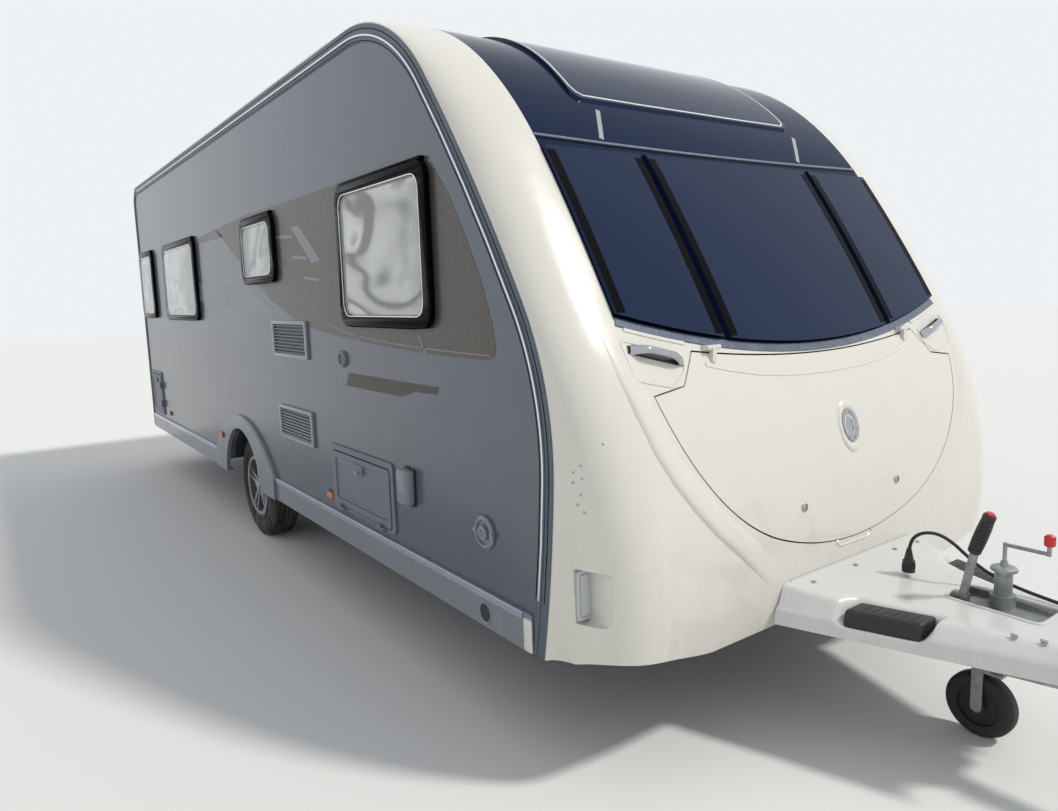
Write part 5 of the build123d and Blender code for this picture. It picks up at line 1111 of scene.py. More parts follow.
class CARAVAN_OT_front_details(bpy.types.Operator):
    """Moulded ridges, locks, bare badge and finger recess of the front and its locker lid"""
    bl_idname = "caravan.front_details"
    bl_label = "Front and lid details"

    def lid(self):
        crease = [(-y, z) for y, z in LID_CREASE] + LID_CREASE[-2::-1]
        mouldings = [front_bead(in_between(crease, 0.04), (LID,), 0.016, 0.0028)]
        place, way = front(*BADGE_PLACE, LID)
        oval = (Matrix.Translation(place) @ way.to_track_quat("Z", "Y").to_matrix().to_4x4()
                @ Matrix.Diagonal((BADGE_OVAL, 1.0, 1.0, 1.0)))
        boss, rim = (turned(profile, (0, 0, 0), UP, 64) for profile in (BADGE_BOSS, BADGE_RIM))
        for part in (boss, rim):
            part.data.transform(oval)
        locks = []
        for y, z in LID_LOCKS:
            place, way = front(y, z, LID)
            locks.append(disc(place - way * 0.001, 0.015, 0.005, way, 32, 0.0015, LOCK_STEPS))
        finished(mouldings + [rim], "lid_mouldings", "white_shell", body="locker_lid")
        finished([boss], "lid_badge", "chrome", "bright_chrome", body="locker_lid")
        finished(locks, "lid_locks", "zinc", "galvanised_steel", body="locker_lid")

    def rear_bar(self, y):
        foot, top = REAR_BAR_Z
        near, far = REAR_X + 0.002, REAR_X - REAR_BAR_OUT
        points = [(near, y, foot), (far, y, foot), (far, y, foot + REAR_BAR_BEND), (far, y, top - REAR_BAR_BEND),
                  (far, y, top), (near, y, top)]
        flanges = [disc((REAR_X + 0.001, y, z), 0.019, 0.007, BACK, 36, 0.003) for z in REAR_BAR_Z]
        return [to_mesh(round_bar("bar", points, REAR_BAR_RADIUS, 4, 6))] + flanges

    def execute(self, context):
        ridges = [front_bead([(side * y, sill_height(y) - RIDGE_DROP) for y in RIDGE_Y], (PANEL,), 0.014, 0.0035)
                  for side in SIDES]
        self.lid()
        bars, gaskets, pockets, screws = [], [], [], []
        for side in SIDES:
            bars.append(moulded_bar([front(side * y, z, PANEL) for y, z in in_between(GRAB_HANDLE, 0.010)],
                                    *GRAB_SECTION))
            gaskets.append(front_bead([(side * y, z) for y, z in in_between(GRAB_GASKET, 0.02)], (PANEL,), 0.028,
                                      0.0012))
            loop = loop_points(outline([(side * y, z, POCKET_CORNER) for y, z in GRAB_POCKET]), 0.02)
            pockets.append(front_bead(loop, (PANEL, LID), 0.009, 0.0030, closed=True))
            bars += self.rear_bar(side * REAR_BAR_Y)
            for y, z in FRONT_SCREWS:
                place, way = strike((SCREW_FROM_X, side * (y + 1.0), z), (-1.0, -side * SCREW_SLANT, 0), (PANEL,))
                screws.append(disc(place - way * 0.0008, 0.0042, 0.002, way, 14, 0.0006, [(0.0022, -0.0006)]))
        recess = in_between([tuple(point) for point in outline(FINGER_RECESS)], 0.02)
        ridges.append(front_bead(recess, (PANEL,), 0.007, 0.0035))
        finished(ridges, "panel_ridges", "white_shell")
        handles = finished(bars, "grab_handle_bars", "chrome", "bright_chrome")
        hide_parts("grab_handles")
        finished(gaskets, "grab_handle_gaskets", "black_rubber")
        finished(pockets, "grab_handle_pockets", "white_shell")
        finished(screws, "front_screws", "zinc", "galvanised_steel")
        return {"FINISHED"}


# Drawbar fairing in plan: x, half width at the hem, top. Then its flank from the hem up, plain and scooped for
# the step pads: inwards from the hem, over the hem (0) or the top (1), by how much
FAIRING_PLAN = [(2.646, 0.440, 0.505), (2.900, 0.352, 0.474), (3.360, 0.190, 0.468)]
FAIRING_HEM, FAIRING_SPANS, FAIRING_WALL = 0.382, 76, 0.005
FLANK = [
    (0.0, 0, 0.0), (0.001, 0, 0.012), (0.003, 0, 0.030), (0.006, 0, 0.044), (0.011, 0, 0.052), (0.023, 0, 0.062),
    (0.040, 1, -0.012), (0.050, 1, -0.004), (0.062, 1, -0.0005), (0.090, 1, 0.0), (0.115, 1, 0.0),
    (0.130, 1, 0.0), (0.150, 1, 0.0),
]
SCOOPED_FLANK = [
    (0.0, 0, 0.0), (0.001, 0, 0.010), (0.0025, 0, 0.020), (0.0045, 0, 0.028), (0.009, 0, 0.034),
    (0.020, 0, 0.034), (0.045, 0, 0.033), (0.080, 0, 0.034), (0.098, 0, 0.042), (0.106, 1, -0.022),
    (0.115, 1, -0.006), (0.126, 1, -0.0008), (0.150, 1, 0.0),
]
TOP_SHARES = (0.66, 0.33, 0.0)
# Scoops: x from, x to, and how far each end takes to form
SCOOP_X, SCOOP_IN, SCOOP_OUT = (2.800, 3.062), 0.045, 0.030
# Slot for the brake and jockey wheel, as (x, y, corner radius)
SLOT = [(2.978, -0.042, 0.03), (3.250, -0.042, 0.03), (3.250, 0.118, 0.03), (2.978, 0.118, 0.03)]
BACK_RIB_X, BACK_RIB_Y = 2.6485, 0.36
# Step pads: x, inwards, over the hem; in from the hem; lean at the top. Then their ribs: first x, pitch, count
PAD_X, PAD_WIDTH, PAD_Z, PAD_IN, PAD_LEAN = (2.832, 3.034), 0.090, (0.030, 0.086), 0.0125, 0.012
PAD_RIB_X, PAD_RIB_PITCH, PAD_RIBS, PAD_RIB_IN = 2.870, 0.025, 6, 0.068
PAD_RIB_Z, PAD_RIB_SIZE = (0.0855, 0.0875), (0.006, 0.024)
FAIRING_BOLTS = ((2.692, -0.300), (2.692, -0.060), (2.692, 0.190), (2.700, 0.330))
FAIRING_BOLT_STEPS = [(0.003, 0.0), (0.001, -0.0015)]
WING_X, WING_IN = (3.235, 3.300), 0.055


def fairing_at(x):
    """Half width of the drawbar fairing at its hem, and its top, at x."""
    start, end = FAIRING_PLAN[:2] if x < FAIRING_PLAN[1][0] else FAIRING_PLAN[1:]
    share = (x - start[0]) / (end[0] - start[0])
    return [a + (b - a) * share for a, b in zip(start[1:], end[1:])]


def soft_step(value, low, high):
    t = max(0.0, min(1.0, (value - low) / (high - low)))
    return t * t * (3 - 2 * t)


class CARAVAN_OT_drawbar_fairing(bpy.types.Operator):
    """Moulded drawbar fairing with its scooped shoulders, black step pads, slot rim and clips"""
    bl_idname = "caravan.drawbar_fairing"
    bl_label = "Drawbar fairing"

    def section(self, x):
        half, top = fairing_at(x)
        levels = (FAIRING_HEM, top)
        near, far = SCOOP_X
        share = soft_step(x, near, near + SCOOP_IN) * (1 - soft_step(x, far - SCOOP_OUT, far))
        flank = []
        for (a, base, rise), (b, other_base, other_rise) in zip(FLANK, SCOOPED_FLANK):
            plain, scooped = levels[base] + rise, levels[other_base] + other_rise
            flank.append((half - (a + (b - a) * share), plain + (scooped - plain) * share))
        flank += [(flank[-1][0] * share, top) for share in TOP_SHARES]
        return [(x, -y, z) for y, z in flank] + [(x, y, z) for y, z in flank[-2::-1]]

    def shell(self):
        shell = lay_grid([self.section(x) for x in spread(FAIRING_PLAN[0][0], FAIRING_PLAN[-1][0], FAIRING_SPANS)])
        outwards(shell)
        if sum(face.normal.z * face.area for face in shell.data.polygons) < 0:
            edit(shell)
            bpy.ops.mesh.flip_normals()
            leave()
        apply_modifier(shell, "wall", "SOLIDIFY", thickness=FAIRING_WALL, offset=-1.0)
        cutter = sheet([outline(SLOT)], 0.20, top_place(0.46))
        apply_modifier(shell, "slot", "BOOLEAN", operation="DIFFERENCE", solver="EXACT", object=cutter)
        bpy.data.objects.remove(cutter)
        return shell

    def pad(self, side):
        low, high = (FAIRING_HEM + rise for rise in PAD_Z)
        pad = block((PAD_X[0], 0.0, low), (PAD_X[1], PAD_WIDTH, high), 0.010, 4)
        for corner in pad.data.vertices:
            x, inwards, z = corner.co
            lean = PAD_LEAN * (z - low) / (high - low)
            corner.co = (x, side * (fairing_at(x)[0] - PAD_IN - inwards - lean), z)
        outwards(pad)
        ribs = []
        for step in range(PAD_RIBS):
            x = PAD_RIB_X + PAD_RIB_PITCH * step
            y = side * (fairing_at(x)[0] - PAD_RIB_IN)
            low, high = (FAIRING_HEM + rise for rise in PAD_RIB_Z)
            length, half = PAD_RIB_SIZE
            ribs.append(block((x, y - half, low), (x + length, y + half, high), 0.0008))
        return [pad] + ribs

    def execute(self, context):
        fairing = finished([self.shell()], "drawbar_fairing", "white_cover", angle=38.0, keep_normals=True)
        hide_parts("drawbar_cover")

        rim = [(Vector((x, y, fairing_at(x)[1])), Vector(UP)) for x, y in loop_points(outline(SLOT), 0.03)]
        rib_z = fairing_at(BACK_RIB_X)[1]
        back_rib = straight((BACK_RIB_X, -BACK_RIB_Y, rib_z), (BACK_RIB_X, BACK_RIB_Y, rib_z), UP, 10)
        finished([ribbon(rim, 0.012, 0.004, closed=True), ribbon(back_rib, 0.004, 0.003)], "fairing_trims",
                 "white_cover")
        finished(self.pad(-1) + self.pad(1), "step_pads", "black_plastic")

        fixings = [disc((x, y, fairing_at(x)[1] - 0.001), 0.009, 0.004, UP, 24, 0.001, FAIRING_BOLT_STEPS)
                   for x, y in FAIRING_BOLTS]
        for x in WING_X:
            half, top = fairing_at(x)
            y = WING_IN - half
            fixings.append(disc((x, y, top - 0.001), 0.007, 0.004, UP, 24, 0.001))
            fixings.append(block((x - 0.010, y - 0.0015, top + 0.002), (x + 0.010, y + 0.0015, top + 0.012), 0.0012))
        finished(fixings, "fairing_fixings", "zinc", "galvanised_steel")
        return {"FINISHED"}


# Wheels: middle of the nearside one, then turned profiles as (radius, distance out from the middle)
WHEEL = Vector((-0.743, 0.985, 0.316))
TYRE_RADIUS = 0.316
TYRE_SIDE = [
    (0.184, 0.0760), (0.192, 0.0830), (0.200, 0.0880), (0.206, 0.0885), (0.210, 0.0860), (0.235, 0.0912),
    (0.258, 0.0922), (0.280, 0.0900), (0.292, 0.0850), (0.298, 0.0800), (0.306, 0.0720), (0.3125, 0.0600),
]
TYRE_INSIDE = [(0.178, -0.070), (0.178, 0.070)]
TREAD_GROOVES = (0.045, 0.015, -0.015, -0.045)
GROOVE = [(TYRE_RADIUS - 0.0012, 0.0050), (0.3070, 0.0040), (0.3070, -0.0040), (TYRE_RADIUS - 0.0012, -0.0050)]
# Rows of tread blocks: distance out, half width. Then half their length, and their radii
BLOCK_ROWS = ((0.0655, 0.0085), (0.0300, 0.0075), (0.0, 0.0075), (-0.0300, 0.0075), (-0.0655, 0.0085))
BLOCK_HALF, BLOCK_RADII = 0.0105, (0.305, TYRE_RADIUS - 0.0002)
SIDE_RIBS, SIDE_RIB = (0.222, 0.268), [(-0.002, 0.0885), (-0.002, 0.0925), (0.002, 0.0925), (0.002, 0.0885)]
RIM_LIP = [(0.174, 0.078), (0.176, 0.086), (0.182, 0.088), (0.190, 0.086), (0.1945, 0.081), (0.1900, 0.080),
           (0.182, 0.078)]
RIM_CAP = [(0.0, 0.040), (0.030, 0.040), (0.031, 0.080), (0.029, 0.0835), (0.024, 0.0845), (0.022, 0.0835),
           (0.012, 0.0850), (0.0, 0.0855)]
VALVE = [(0.0, 0.060), (0.0035, 0.060), (0.0035, 0.082), (0.0045, 0.083), (0.0045, 0.090), (0.0030, 0.092),
         (0.0, 0.092)]
VALVE_RADIUS = 0.150
BOLTS, BOLT_CIRCLE, BOLT_FOOT, BOLT_STEPS = 5, 0.050, 0.048, [(0.003, 0.0), (0.001, -0.004)]


class CARAVAN_OT_wheels(bpy.types.Operator):
    """Tyres with grooves, tread blocks and ribbed shoulders, and the rims' lips, bolts and plain caps"""
    bl_idname = "caravan.wheels"
    bl_label = "Wheels"

    def tyre(self, side, centre, out):
        tread = [(radius, middle + off) for middle in TREAD_GROOVES for radius, off in GROOVE]
        other_side = [(radius, -axial) for radius, axial in reversed(TYRE_SIDE)]
        parts = [turned(TYRE_SIDE + tread + other_side + TYRE_INSIDE, centre, out, 96)]
        low, high = (WHEEL.z + radius for radius in BLOCK_RADII)
        for axial, half in BLOCK_ROWS:
            y = side * (WHEEL.y + axial)
            lug = block((WHEEL.x - BLOCK_HALF, y - half, low), (WHEEL.x + BLOCK_HALF, y + half, high), 0.0012, 1)
            parts.append(spun_copies(lug, sizes().tread_blocks, centre, (0, 1, 0)))
        parts += [turned([(radius + off, axial) for off, axial in SIDE_RIB], centre, out, 96)
                  for radius in SIDE_RIBS]
        return parts

    def execute(self, context):
        for side, label in ((-1, "offside"), (1, "nearside")):
            centre = Vector((WHEEL.x, side * WHEEL.y, WHEEL.z))
            out = Vector((0, side, 0))
            body = f"wheel_{label}"
            tyre = finished(self.tyre(side, centre, out), f"tyre_{label}_tread", "tyre_rubber", body=body, angle=30.0)
            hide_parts(f"tyre_{label}")
            finished([turned(RIM_LIP, centre, out, 96)], f"rim_{label}_lip", "chrome", "alloy_rim", body)
            bolts = []
            for step in range(BOLTS):
                angle = 2 * pi * (step + 0.5) / BOLTS
                foot = centre + Vector((BOLT_CIRCLE * cos(angle), side * BOLT_FOOT, BOLT_CIRCLE * sin(angle)))
                bolts.append(disc(foot, 0.0105, 0.034, out, 6, 0.0015, BOLT_STEPS))
            stem = centre + Vector((VALVE_RADIUS * sin(pi / BOLTS), 0, VALVE_RADIUS * cos(pi / BOLTS)))
            bolts += [turned(RIM_CAP, centre, out), turned(VALVE, stem, out, 12)]
            finished(bolts, f"rim_{label}_bolts", "zinc", "alloy_rim", body)
        return {"FINISHED"}


# Offside fittings. Water inlet and gas point: place as (x, z), profile as (radius, height)
INLET = (2.034, 0.686)
INLET_PROFILE = [
    (0.0, 0.0), (0.055, 0.0), (0.056, 0.008), (0.051, 0.0135), (0.046, 0.0150), (0.041, 0.0130), (0.039, 0.0060),
    (0.026, 0.0050), (0.025, 0.0160), (0.022, 0.0190), (0.013, 0.0195), (0.011, 0.0170), (0.0, 0.0170),
]
INLET_LATCH = (-0.024, 0.010, -0.0045, 0.0045)
INLET_EARS, EAR_SCREWS = (-0.050, 0.050), (-0.051, 0.051)
GAS_POINT = (0.928, 1.201)
GAS_PROFILE = [(0.0, 0.0), (0.0364, 0.0), (0.0371, 0.006), (0.0322, 0.0155), (0.0273, 0.0165), (0.0245, 0.0120),
               (0.0, 0.0120)]
GAS_STEPS = [(0.003, 0.0), (0.002, -0.0006), (0.012, 0.0006)]
# Mains inlet cowl: x from, x to, z from, z to; how deep; then blocks on it with their depths and bevel
COWL, COWL_DEPTH = (1.464, 1.551, 0.670, 0.815), 0.044
COWL_BLOCKS = [((1.476, 1.533, 0.710, 0.714), 0.0425, 0.0462, 0.0012),
               ((1.484, 1.531, 0.662, 0.678), 0.004, 0.020, 0.003)]
COWL_SCREW_IN = 0.014
# Fridge vents, and their slats: count, in from the ends, half depth, half thickness, lean
VENTS = [(0.009, 0.508, 1.177, 1.360), (0.031, 0.513, 0.745, 0.918)]
VENT_BORDER, SLATS, SLAT_IN, SLAT_DEPTH, SLAT_HALF, SLAT_LEAN = (0.018, 0.015), 9, 0.014, 0.0045, 0.0016, 35
HATCHES = [("service_hatch_lid", 0.757, 1.340, 0.530, 0.775), ("cassette_door", -3.535, -3.155, 0.525, 0.855)]
HATCH_LOCK_DOWN, HATCH_LOCK_STEPS = 0.060, [(0.003, 0.0), (0.0008, -0.001)]
# Skirt: plugged jack hole as (x, z) with its bezel, joints beside the spat, end piece, and beads between, whose
# lighter colour is a painted highlight on the skirt's top fold
JACK_HOLE = (2.027, 0.410)
JACK_BEZEL = [(0.030, 0.0), (0.031, 0.003), (0.036, 0.0045), (0.040, 0.003), (0.041, 0.0)]
SKIRT_JOINTS, SKIRT_JOINT_Z = (-0.128, -1.358), (0.372, 0.470)
SKIRT_END = (2.250, 2.2905, 0.364, 0.470)
SKIRT_BEADS, SKIRT_BEAD_Z = ((-3.590, -1.372), (-0.118, 2.246)), 0.4715


class CARAVAN_OT_wall_fittings(bpy.types.Operator):
    """Bezels, screws and flaps of the offside's inlets, vents and hatches, and the trim of both skirts"""
    bl_idname = "caravan.wall_fittings"
    bl_label = "Wall fittings"

    def inlets(self):
        """The three covers; returns their screws and the cowl's gasket."""
        x, z = INLET
        covers = [turned(INLET_PROFILE, (x, -WALL, z), (0, -1, 0), 64),
                  wall_block(-1, (x + INLET_LATCH[0], x + INLET_LATCH[1], z + INLET_LATCH[2], z + INLET_LATCH[3]),
                             0.0150, 0.0215, 0.002)]
        covers += [wall_disc(x + off, z, 0.010, 0.008, 0.007, bevel=0.002, sides=24) for off in INLET_EARS]
        screws = [wall_screw(-1, x + off, z, 0.0152) for off in EAR_SCREWS]
        covers.append(turned(GAS_PROFILE, (GAS_POINT[0], -WALL, GAS_POINT[1]), (0, -1, 0), 40))
        x0, x1, z0, z1 = COWL
        cowl = wall_block(-1, (x0, x1, z0 + 0.002, z1 - 0.002), -0.001, COWL_DEPTH, 0.016, 5)
        for corner in cowl.data.vertices:
            out = (-WALL - corner.co.y) / COWL_DEPTH
            corner.co.x -= 0.008 * out * (corner.co.x - x0) / (x1 - x0)
            corner.co.z -= 0.006 * out * max(0.0, corner.co.z - z0 - 0.05) / 0.1
        covers.append(cowl)
        covers += [wall_block(-1, *row) for row in COWL_BLOCKS]
        screws += [wall_screw(-1, u, z1 + 0.001, 0.0022, 0.003) for u in (x0 + COWL_SCREW_IN, x1 - COWL_SCREW_IN)]
        fittings = finished(covers, "inlet_covers", "silver_plastic")
        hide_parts("wall_fittings")
        button = wall_disc(*GAS_POINT, 0.024, 0.0115, 0.002, GAS_STEPS)
        finished([button], "gas_point_button", "dark_bronze", "silver_plastic")
        return screws, [sheet([rounded(COWL, -0.004, 0.020)], 0.002, wall_place(-1, 0.001))]

    def vents(self):
        """The two grilles; returns their screws and the black sheets behind them, painted shade of the hollows behind
        the slats.
        """
        grilles, screws, vent_shade_backs = [], [], []
        for vent in VENTS:
            x0, x1, z0, z1 = vent
            # A black sheet behind each grille: painted shade of the hollow behind it
            vent_shade_backs.append(sheet([rounded(vent, 0.010, 0.004)], 0.001, wall_place(-1, 0.0007)))
            grilles.append(sheet([rounded(vent, 0, 0.010), rounded(vent, VENT_BORDER, 0.006)], 0.010,
                                 wall_place(-1, 0.0065), 0.0016))
            border = VENT_BORDER[1]
            for step in range(SLATS):
                z = z0 + border + (z1 - z0 - 2 * border) * (step + 0.5) / SLATS
                slat = block((x0 + SLAT_IN, -SLAT_DEPTH, -SLAT_HALF), (x1 - SLAT_IN, SLAT_DEPTH, SLAT_HALF),
                             0.0008, 1)
                slat.data.transform(Matrix.Translation((0, -WALL - 0.0075, z))
                                    @ Matrix.Rotation(radians(SLAT_LEAN), 4, "X"))
                grilles.append(slat)
            screws += [wall_screw(-1, u, v, 0.0125, 0.0034) for u in (x0 + 0.010, x1 - 0.010)
                       for v in (z0 + 0.010, z1 - 0.010)]
        grilles = finished(grilles, "vent_grilles", "grille_silver", "grey_plastic")
        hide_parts("fridge_vents")
        return screws, vent_shade_backs

    def skirt(self):
        """The skirt's trim on both sides; returns its bezels and its dark parts."""
        bezels, dark, ends, beads = [], [], [], []
        x, z = JACK_HOLE
        on_skirt = SKIRT_Y - 0.001
        for side in SIDES:
            out = (0, side, 0)
            bezels.append(turned(JACK_BEZEL, (x, side * on_skirt, z), out))
            dark.append(disc((x, side * on_skirt, z), 0.031, 0.002, out, steps=[(0.006, -0.0005)]))
            dark += [wall_block(side, (u - 0.0015, u + 0.0015, *SKIRT_JOINT_Z), 0.008, 0.0106, 0.0004, 1)
                     for u in SKIRT_JOINTS]
            ends.append(wall_block(side, SKIRT_END, 0.004, 0.016, 0.0055))
            beads += [ribbon(straight((x0, side * on_skirt, SKIRT_BEAD_Z), (x1, side * on_skirt, SKIRT_BEAD_Z), out,
                                      20), 0.026, 0.0065) for x0, x1 in SKIRT_BEADS]
        finished(ends, "skirt_ends", "white_shell")
        # The skirt's top fold painted lighter and bluer: a painted highlight
        finished(beads, "skirt_highlight_beads", "painted_highlight_silver", "silver_plastic")
        return bezels, dark

    def execute(self, context):
        inlet_screws, gasket = self.inlets()
        vent_screws, vent_shade_backs = self.vents()
        for name, *box in HATCHES:
            face, middle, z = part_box(name)[0].y, (box[0] + box[1]) / 2, box[3] - HATCH_LOCK_DOWN
            lock = [disc((middle, face - 0.0015, z), 0.011, 0.004, (0, -1, 0), 32, 0.001, HATCH_LOCK_STEPS),
                    block((middle - 0.0012, face - 0.006, z - 0.005), (middle + 0.0012, face - 0.001, z + 0.005),
                          0.0004, 1)]
            bead = sheet([rounded(box, 0.036, 0.020), rounded(box, 0.040, 0.018)], 0.0016, wall_place(-1, 0.0075),
                         0.0004)
            finished(lock, f"{name}_lock", "zinc", "galvanised_steel", name)
            finished([bead], f"{name}_bead", "silver_plastic", body=name)
        bezels, dark = self.skirt()
        finished(bezels, "fitting_bezels", "silver_plastic")
        finished(inlet_screws + vent_screws, "fitting_screws", "zinc", "galvanised_steel")
        # Gaskets, the jack plugs and skirt joints, and the black sheets behind the vents, which are painted shade
        finished(gasket + vent_shade_backs + dark, "fitting_gaskets_and_vent_shade", "black_plastic")
        return {"FINISHED"}


# Side markers: x, z, how far their base stands off the wall; half sizes of the bezel; ribs about the middle
SIDE_MARKERS = ((0.688, 0.549, 0.0), (-1.144, 0.600, 0.024), (-2.906, 0.549, 0.0))
MARKER_HALF, MARKER_FACE, RIB_PITCH, RIB_HALF = (0.037, 0.0185), 0.0135, 0.010, (0.0015, 0.0012, 0.009)
RIB_STEPS = range(-2, 3)
# Front markers: y and middle height
FRONT_MARKER_Y, FRONT_MARKER_Z = 1.085, 0.5975
# Rear lamps: y and middle height, then the heights of their lenses and the steps in one
REAR_LAMP_Y, REAR_LAMP_Z = 0.985, 0.700
LENS_Z, LENS_STEPS = (0.805, 0.700, 0.595), [(0.008, 0.0), (0.003, -0.0015), (0.010, 0.0), (0.002, 0.001)]
# Plate's surround as (y from, y to, z from, z to) of its bars, its two lamps, and marks on the high brake lamp
PLATE_BARS = [(-0.265, 0.265, 0.499, 0.504), (-0.265, 0.265, 0.616, 0.621), (-0.265, -0.260, 0.499, 0.621),
              (0.260, 0.265, 0.499, 0.621)]
PLATE_LAMPS = (-0.160, 0.160)
BRAKE_LAMP_MARKS, BRAKE_LAMP_Z = (-0.07, 0.07), 2.230


class CARAVAN_OT_lamps(bpy.types.Operator):
    """Bezels, ribs and inner lenses of the marker and rear lamps, and the plate's surround"""
    bl_idname = "caravan.lamps"
    bl_label = "Lamps"

    def execute(self, context):
        bezels, ambers, reds, clears = [], [], [], []
        for side in SIDES:
            for x, z, base in SIDE_MARKERS:
                bezels.append(sheet([rounded(around(x, z, *MARKER_HALF), 0, 0.007)], 0.003,
                                    wall_place(side, base + 0.0015), 0.0006))
                half_x, half_y, half_z = RIB_HALF
                ambers += [wall_block(side, around(x + step * RIB_PITCH, z, half_x, half_z),
                                      base + MARKER_FACE - half_y, base + MARKER_FACE + half_y, 0.0005, 1)
                           for step in RIB_STEPS]
            y = side * FRONT_MARKER_Y
            rim = [rounded(around(y, FRONT_MARKER_Z, *half), 0, corner)
                   for half, corner in (((0.026, 0.0740), 0.010), ((0.019, 0.0655), 0.006))]
            lens = rounded(around(y, FRONT_MARKER_Z, 0.015, 0.0595), 0, 0.005)
            clears += [sheet(rim, 0.003, end_place(2.4795, 1), 0.0006),
                       sheet([lens], 0.004, end_place(2.4805, 1), 0.001)]
            y = side * REAR_LAMP_Y
            housing = [rounded(around(y, REAR_LAMP_Z, *half), 0, corner)
                       for half, corner in (((0.059, 0.169), 0.024), ((0.050, 0.160), 0.018))]
            bezels.append(sheet(housing, 0.014, end_place(REAR_X - 0.007, -1), 0.001))
            for z, target in zip(LENS_Z, (reds, ambers, clears)):
                target.append(disc((REAR_X - 0.0235, y, z), 0.044, 0.006, BACK, 64, 0.002, LENS_STEPS))
        bezels += [block((REAR_X - 0.008, y0, z0), (REAR_X, y1, z1), 0.001, 1) for y0, y1, z0, z1 in PLATE_BARS]
        for y in PLATE_LAMPS:
            bezels.append(block((REAR_X - 0.026, y - 0.036, 0.626), (REAR_X, y + 0.036, 0.650), 0.006))
            clears.append(block((REAR_X - 0.024, y - 0.028, 0.6235), (REAR_X - 0.008, y + 0.028, 0.6285), 0.0015, 1))
        bezels += [sheet([rounded(around(y, BRAKE_LAMP_Z, 0.003, 0.011), 0, 0.001)], 0.002,
                         end_place(REAR_X - 0.0262, -1)) for y in BRAKE_LAMP_MARKS]
        finished(bezels, "lamp_bezels", "black_plastic")
        finished(ambers, "amber_lens_details", "amber_lens")
        finished(reds, "red_lens_details", "red_lens")
        finished(clears, "clear_lens_details", "clear_lens")
        return {"FINISHED"}


# Entrance door, as x from, x to, z from, z to: its opening, window, kick strip and moulded panels
DOOR_OPENING, DOOR_WINDOW = (-0.062, 0.562, 0.518, 2.242), (0.095, 0.405, 1.520, 2.040)
KICK_STRIP = (-0.030, 0.545, 0.560, 0.690)
DOOR_PANELS = [(0.085, 0.480, 0.750, 1.060), (0.085, 0.480, 1.120, 1.460)]
DOOR_LOCK, DOOR_LOCK_STEPS = (0.002, 1.075), [(0.003, 0.0), (0.001, -0.0015)]
KEYHOLE = (0.0008, 0.0032, 1.070, 1.080)
HINGE_SCREW_X, HINGE_SCREW_Z = 0.556, [z + lift for z in (0.80, 1.38, 1.96) for lift in (-0.012, 0.012)]


class CARAVAN_OT_door(bpy.types.Operator):
    """Seal, window border, lock, kick strip and mouldings of the entrance door"""
    bl_idname = "caravan.door"
    bl_label = "Entrance door"

    def execute(self, context):
        seal = sheet([rounded(DOOR_OPENING, -0.006, 0.075), rounded(DOOR_OPENING, 0, 0.070)], 0.004,
                     wall_place(1, 0.002), 0.0008)
        border = sheet([rounded(DOOR_WINDOW, -0.010, 0.050), rounded(DOOR_WINDOW, 0.026, 0.036)], 0.006,
                       wall_place(1, 0.0205), 0.0015)
        mouldings = [sheet([rounded(KICK_STRIP, 0, 0.012)], 0.002, wall_place(1, 0.0066), 0.0005)]
        mouldings += [sheet([rounded(panel, 0, 0.030), rounded(panel, 0.006, 0.026)], 0.0025,
                            wall_place(1, 0.0068), 0.0006) for panel in DOOR_PANELS]
        lock = [wall_disc(*DOOR_LOCK, 0.013, 0.006, 0.005, DOOR_LOCK_STEPS, side=1, sides=32),
                wall_block(1, KEYHOLE, 0.0085, 0.0115, 0.0004, 1)]
        lock += [wall_screw(1, HINGE_SCREW_X, z, 0.0075, 0.0035) for z in HINGE_SCREW_Z]
        finished([seal], "door_seal", "black_rubber")
        finished([border], "door_window_border", "gloss_black", "black_plastic", "entrance_door")
        finished(mouldings, "door_mouldings", "silver_skin", body="entrance_door")
        finished(lock, "door_lock", "zinc", "galvanised_steel", "entrance_door")
        return {"FINISHED"}


# The front's soft crease on the nearside, as (y, z), and its section, as (inwards, height)
CREASE = [
    (0.968, 1.330), (0.958, 1.207), (0.935, 1.100), (0.901, 0.996), (0.850, 0.905), (0.787, 0.823), (0.705, 0.735),
    (0.614, 0.656), (0.525, 0.575), (0.450, 0.510),
]
CREASE_PROFILE = [(-0.010, -0.0015), (-0.005, 0.0030), (0.001, 0.0072), (0.010, 0.0086), (0.030, 0.0068),
                  (0.055, 0.0032), (0.078, -0.0015)]
CREASE_STEP, CREASE_FADE = 0.03, 5
# Straight lines: start, end, facing, spans, width, how proud
REAR_RIBS = [((REAR_X, y, 0.40), (REAR_X, y, 2.26), BACK, 12, 0.020, 0.004) for y in (-1.112, 1.112)]
REAR_BAND = [((REAR_X, -1.10, 1.055), (REAR_X, 1.10, 1.055), BACK, 12, 0.016, 0.004)]
ROOF_RIBS = [((-3.40, y, ROOF_Z), (0.80, y, ROOF_Z), UP, 12, 0.030, 0.003) for y in (-0.80, -0.40, 0.40, 0.80)]
ROOF_JOINTS = [((x, -1.06, ROOF_Z), (x, 1.06, ROOF_Z), UP, 10, width, 0.0018)
               for x, width in ((-1.20, 0.012), (0.940, 0.012), (-3.640, 0.014))]
ROOFLIGHTS_X, ROOFLIGHT_RIB = (-0.150, -2.250), (0.150, 0.060, 0.008, 0.003)


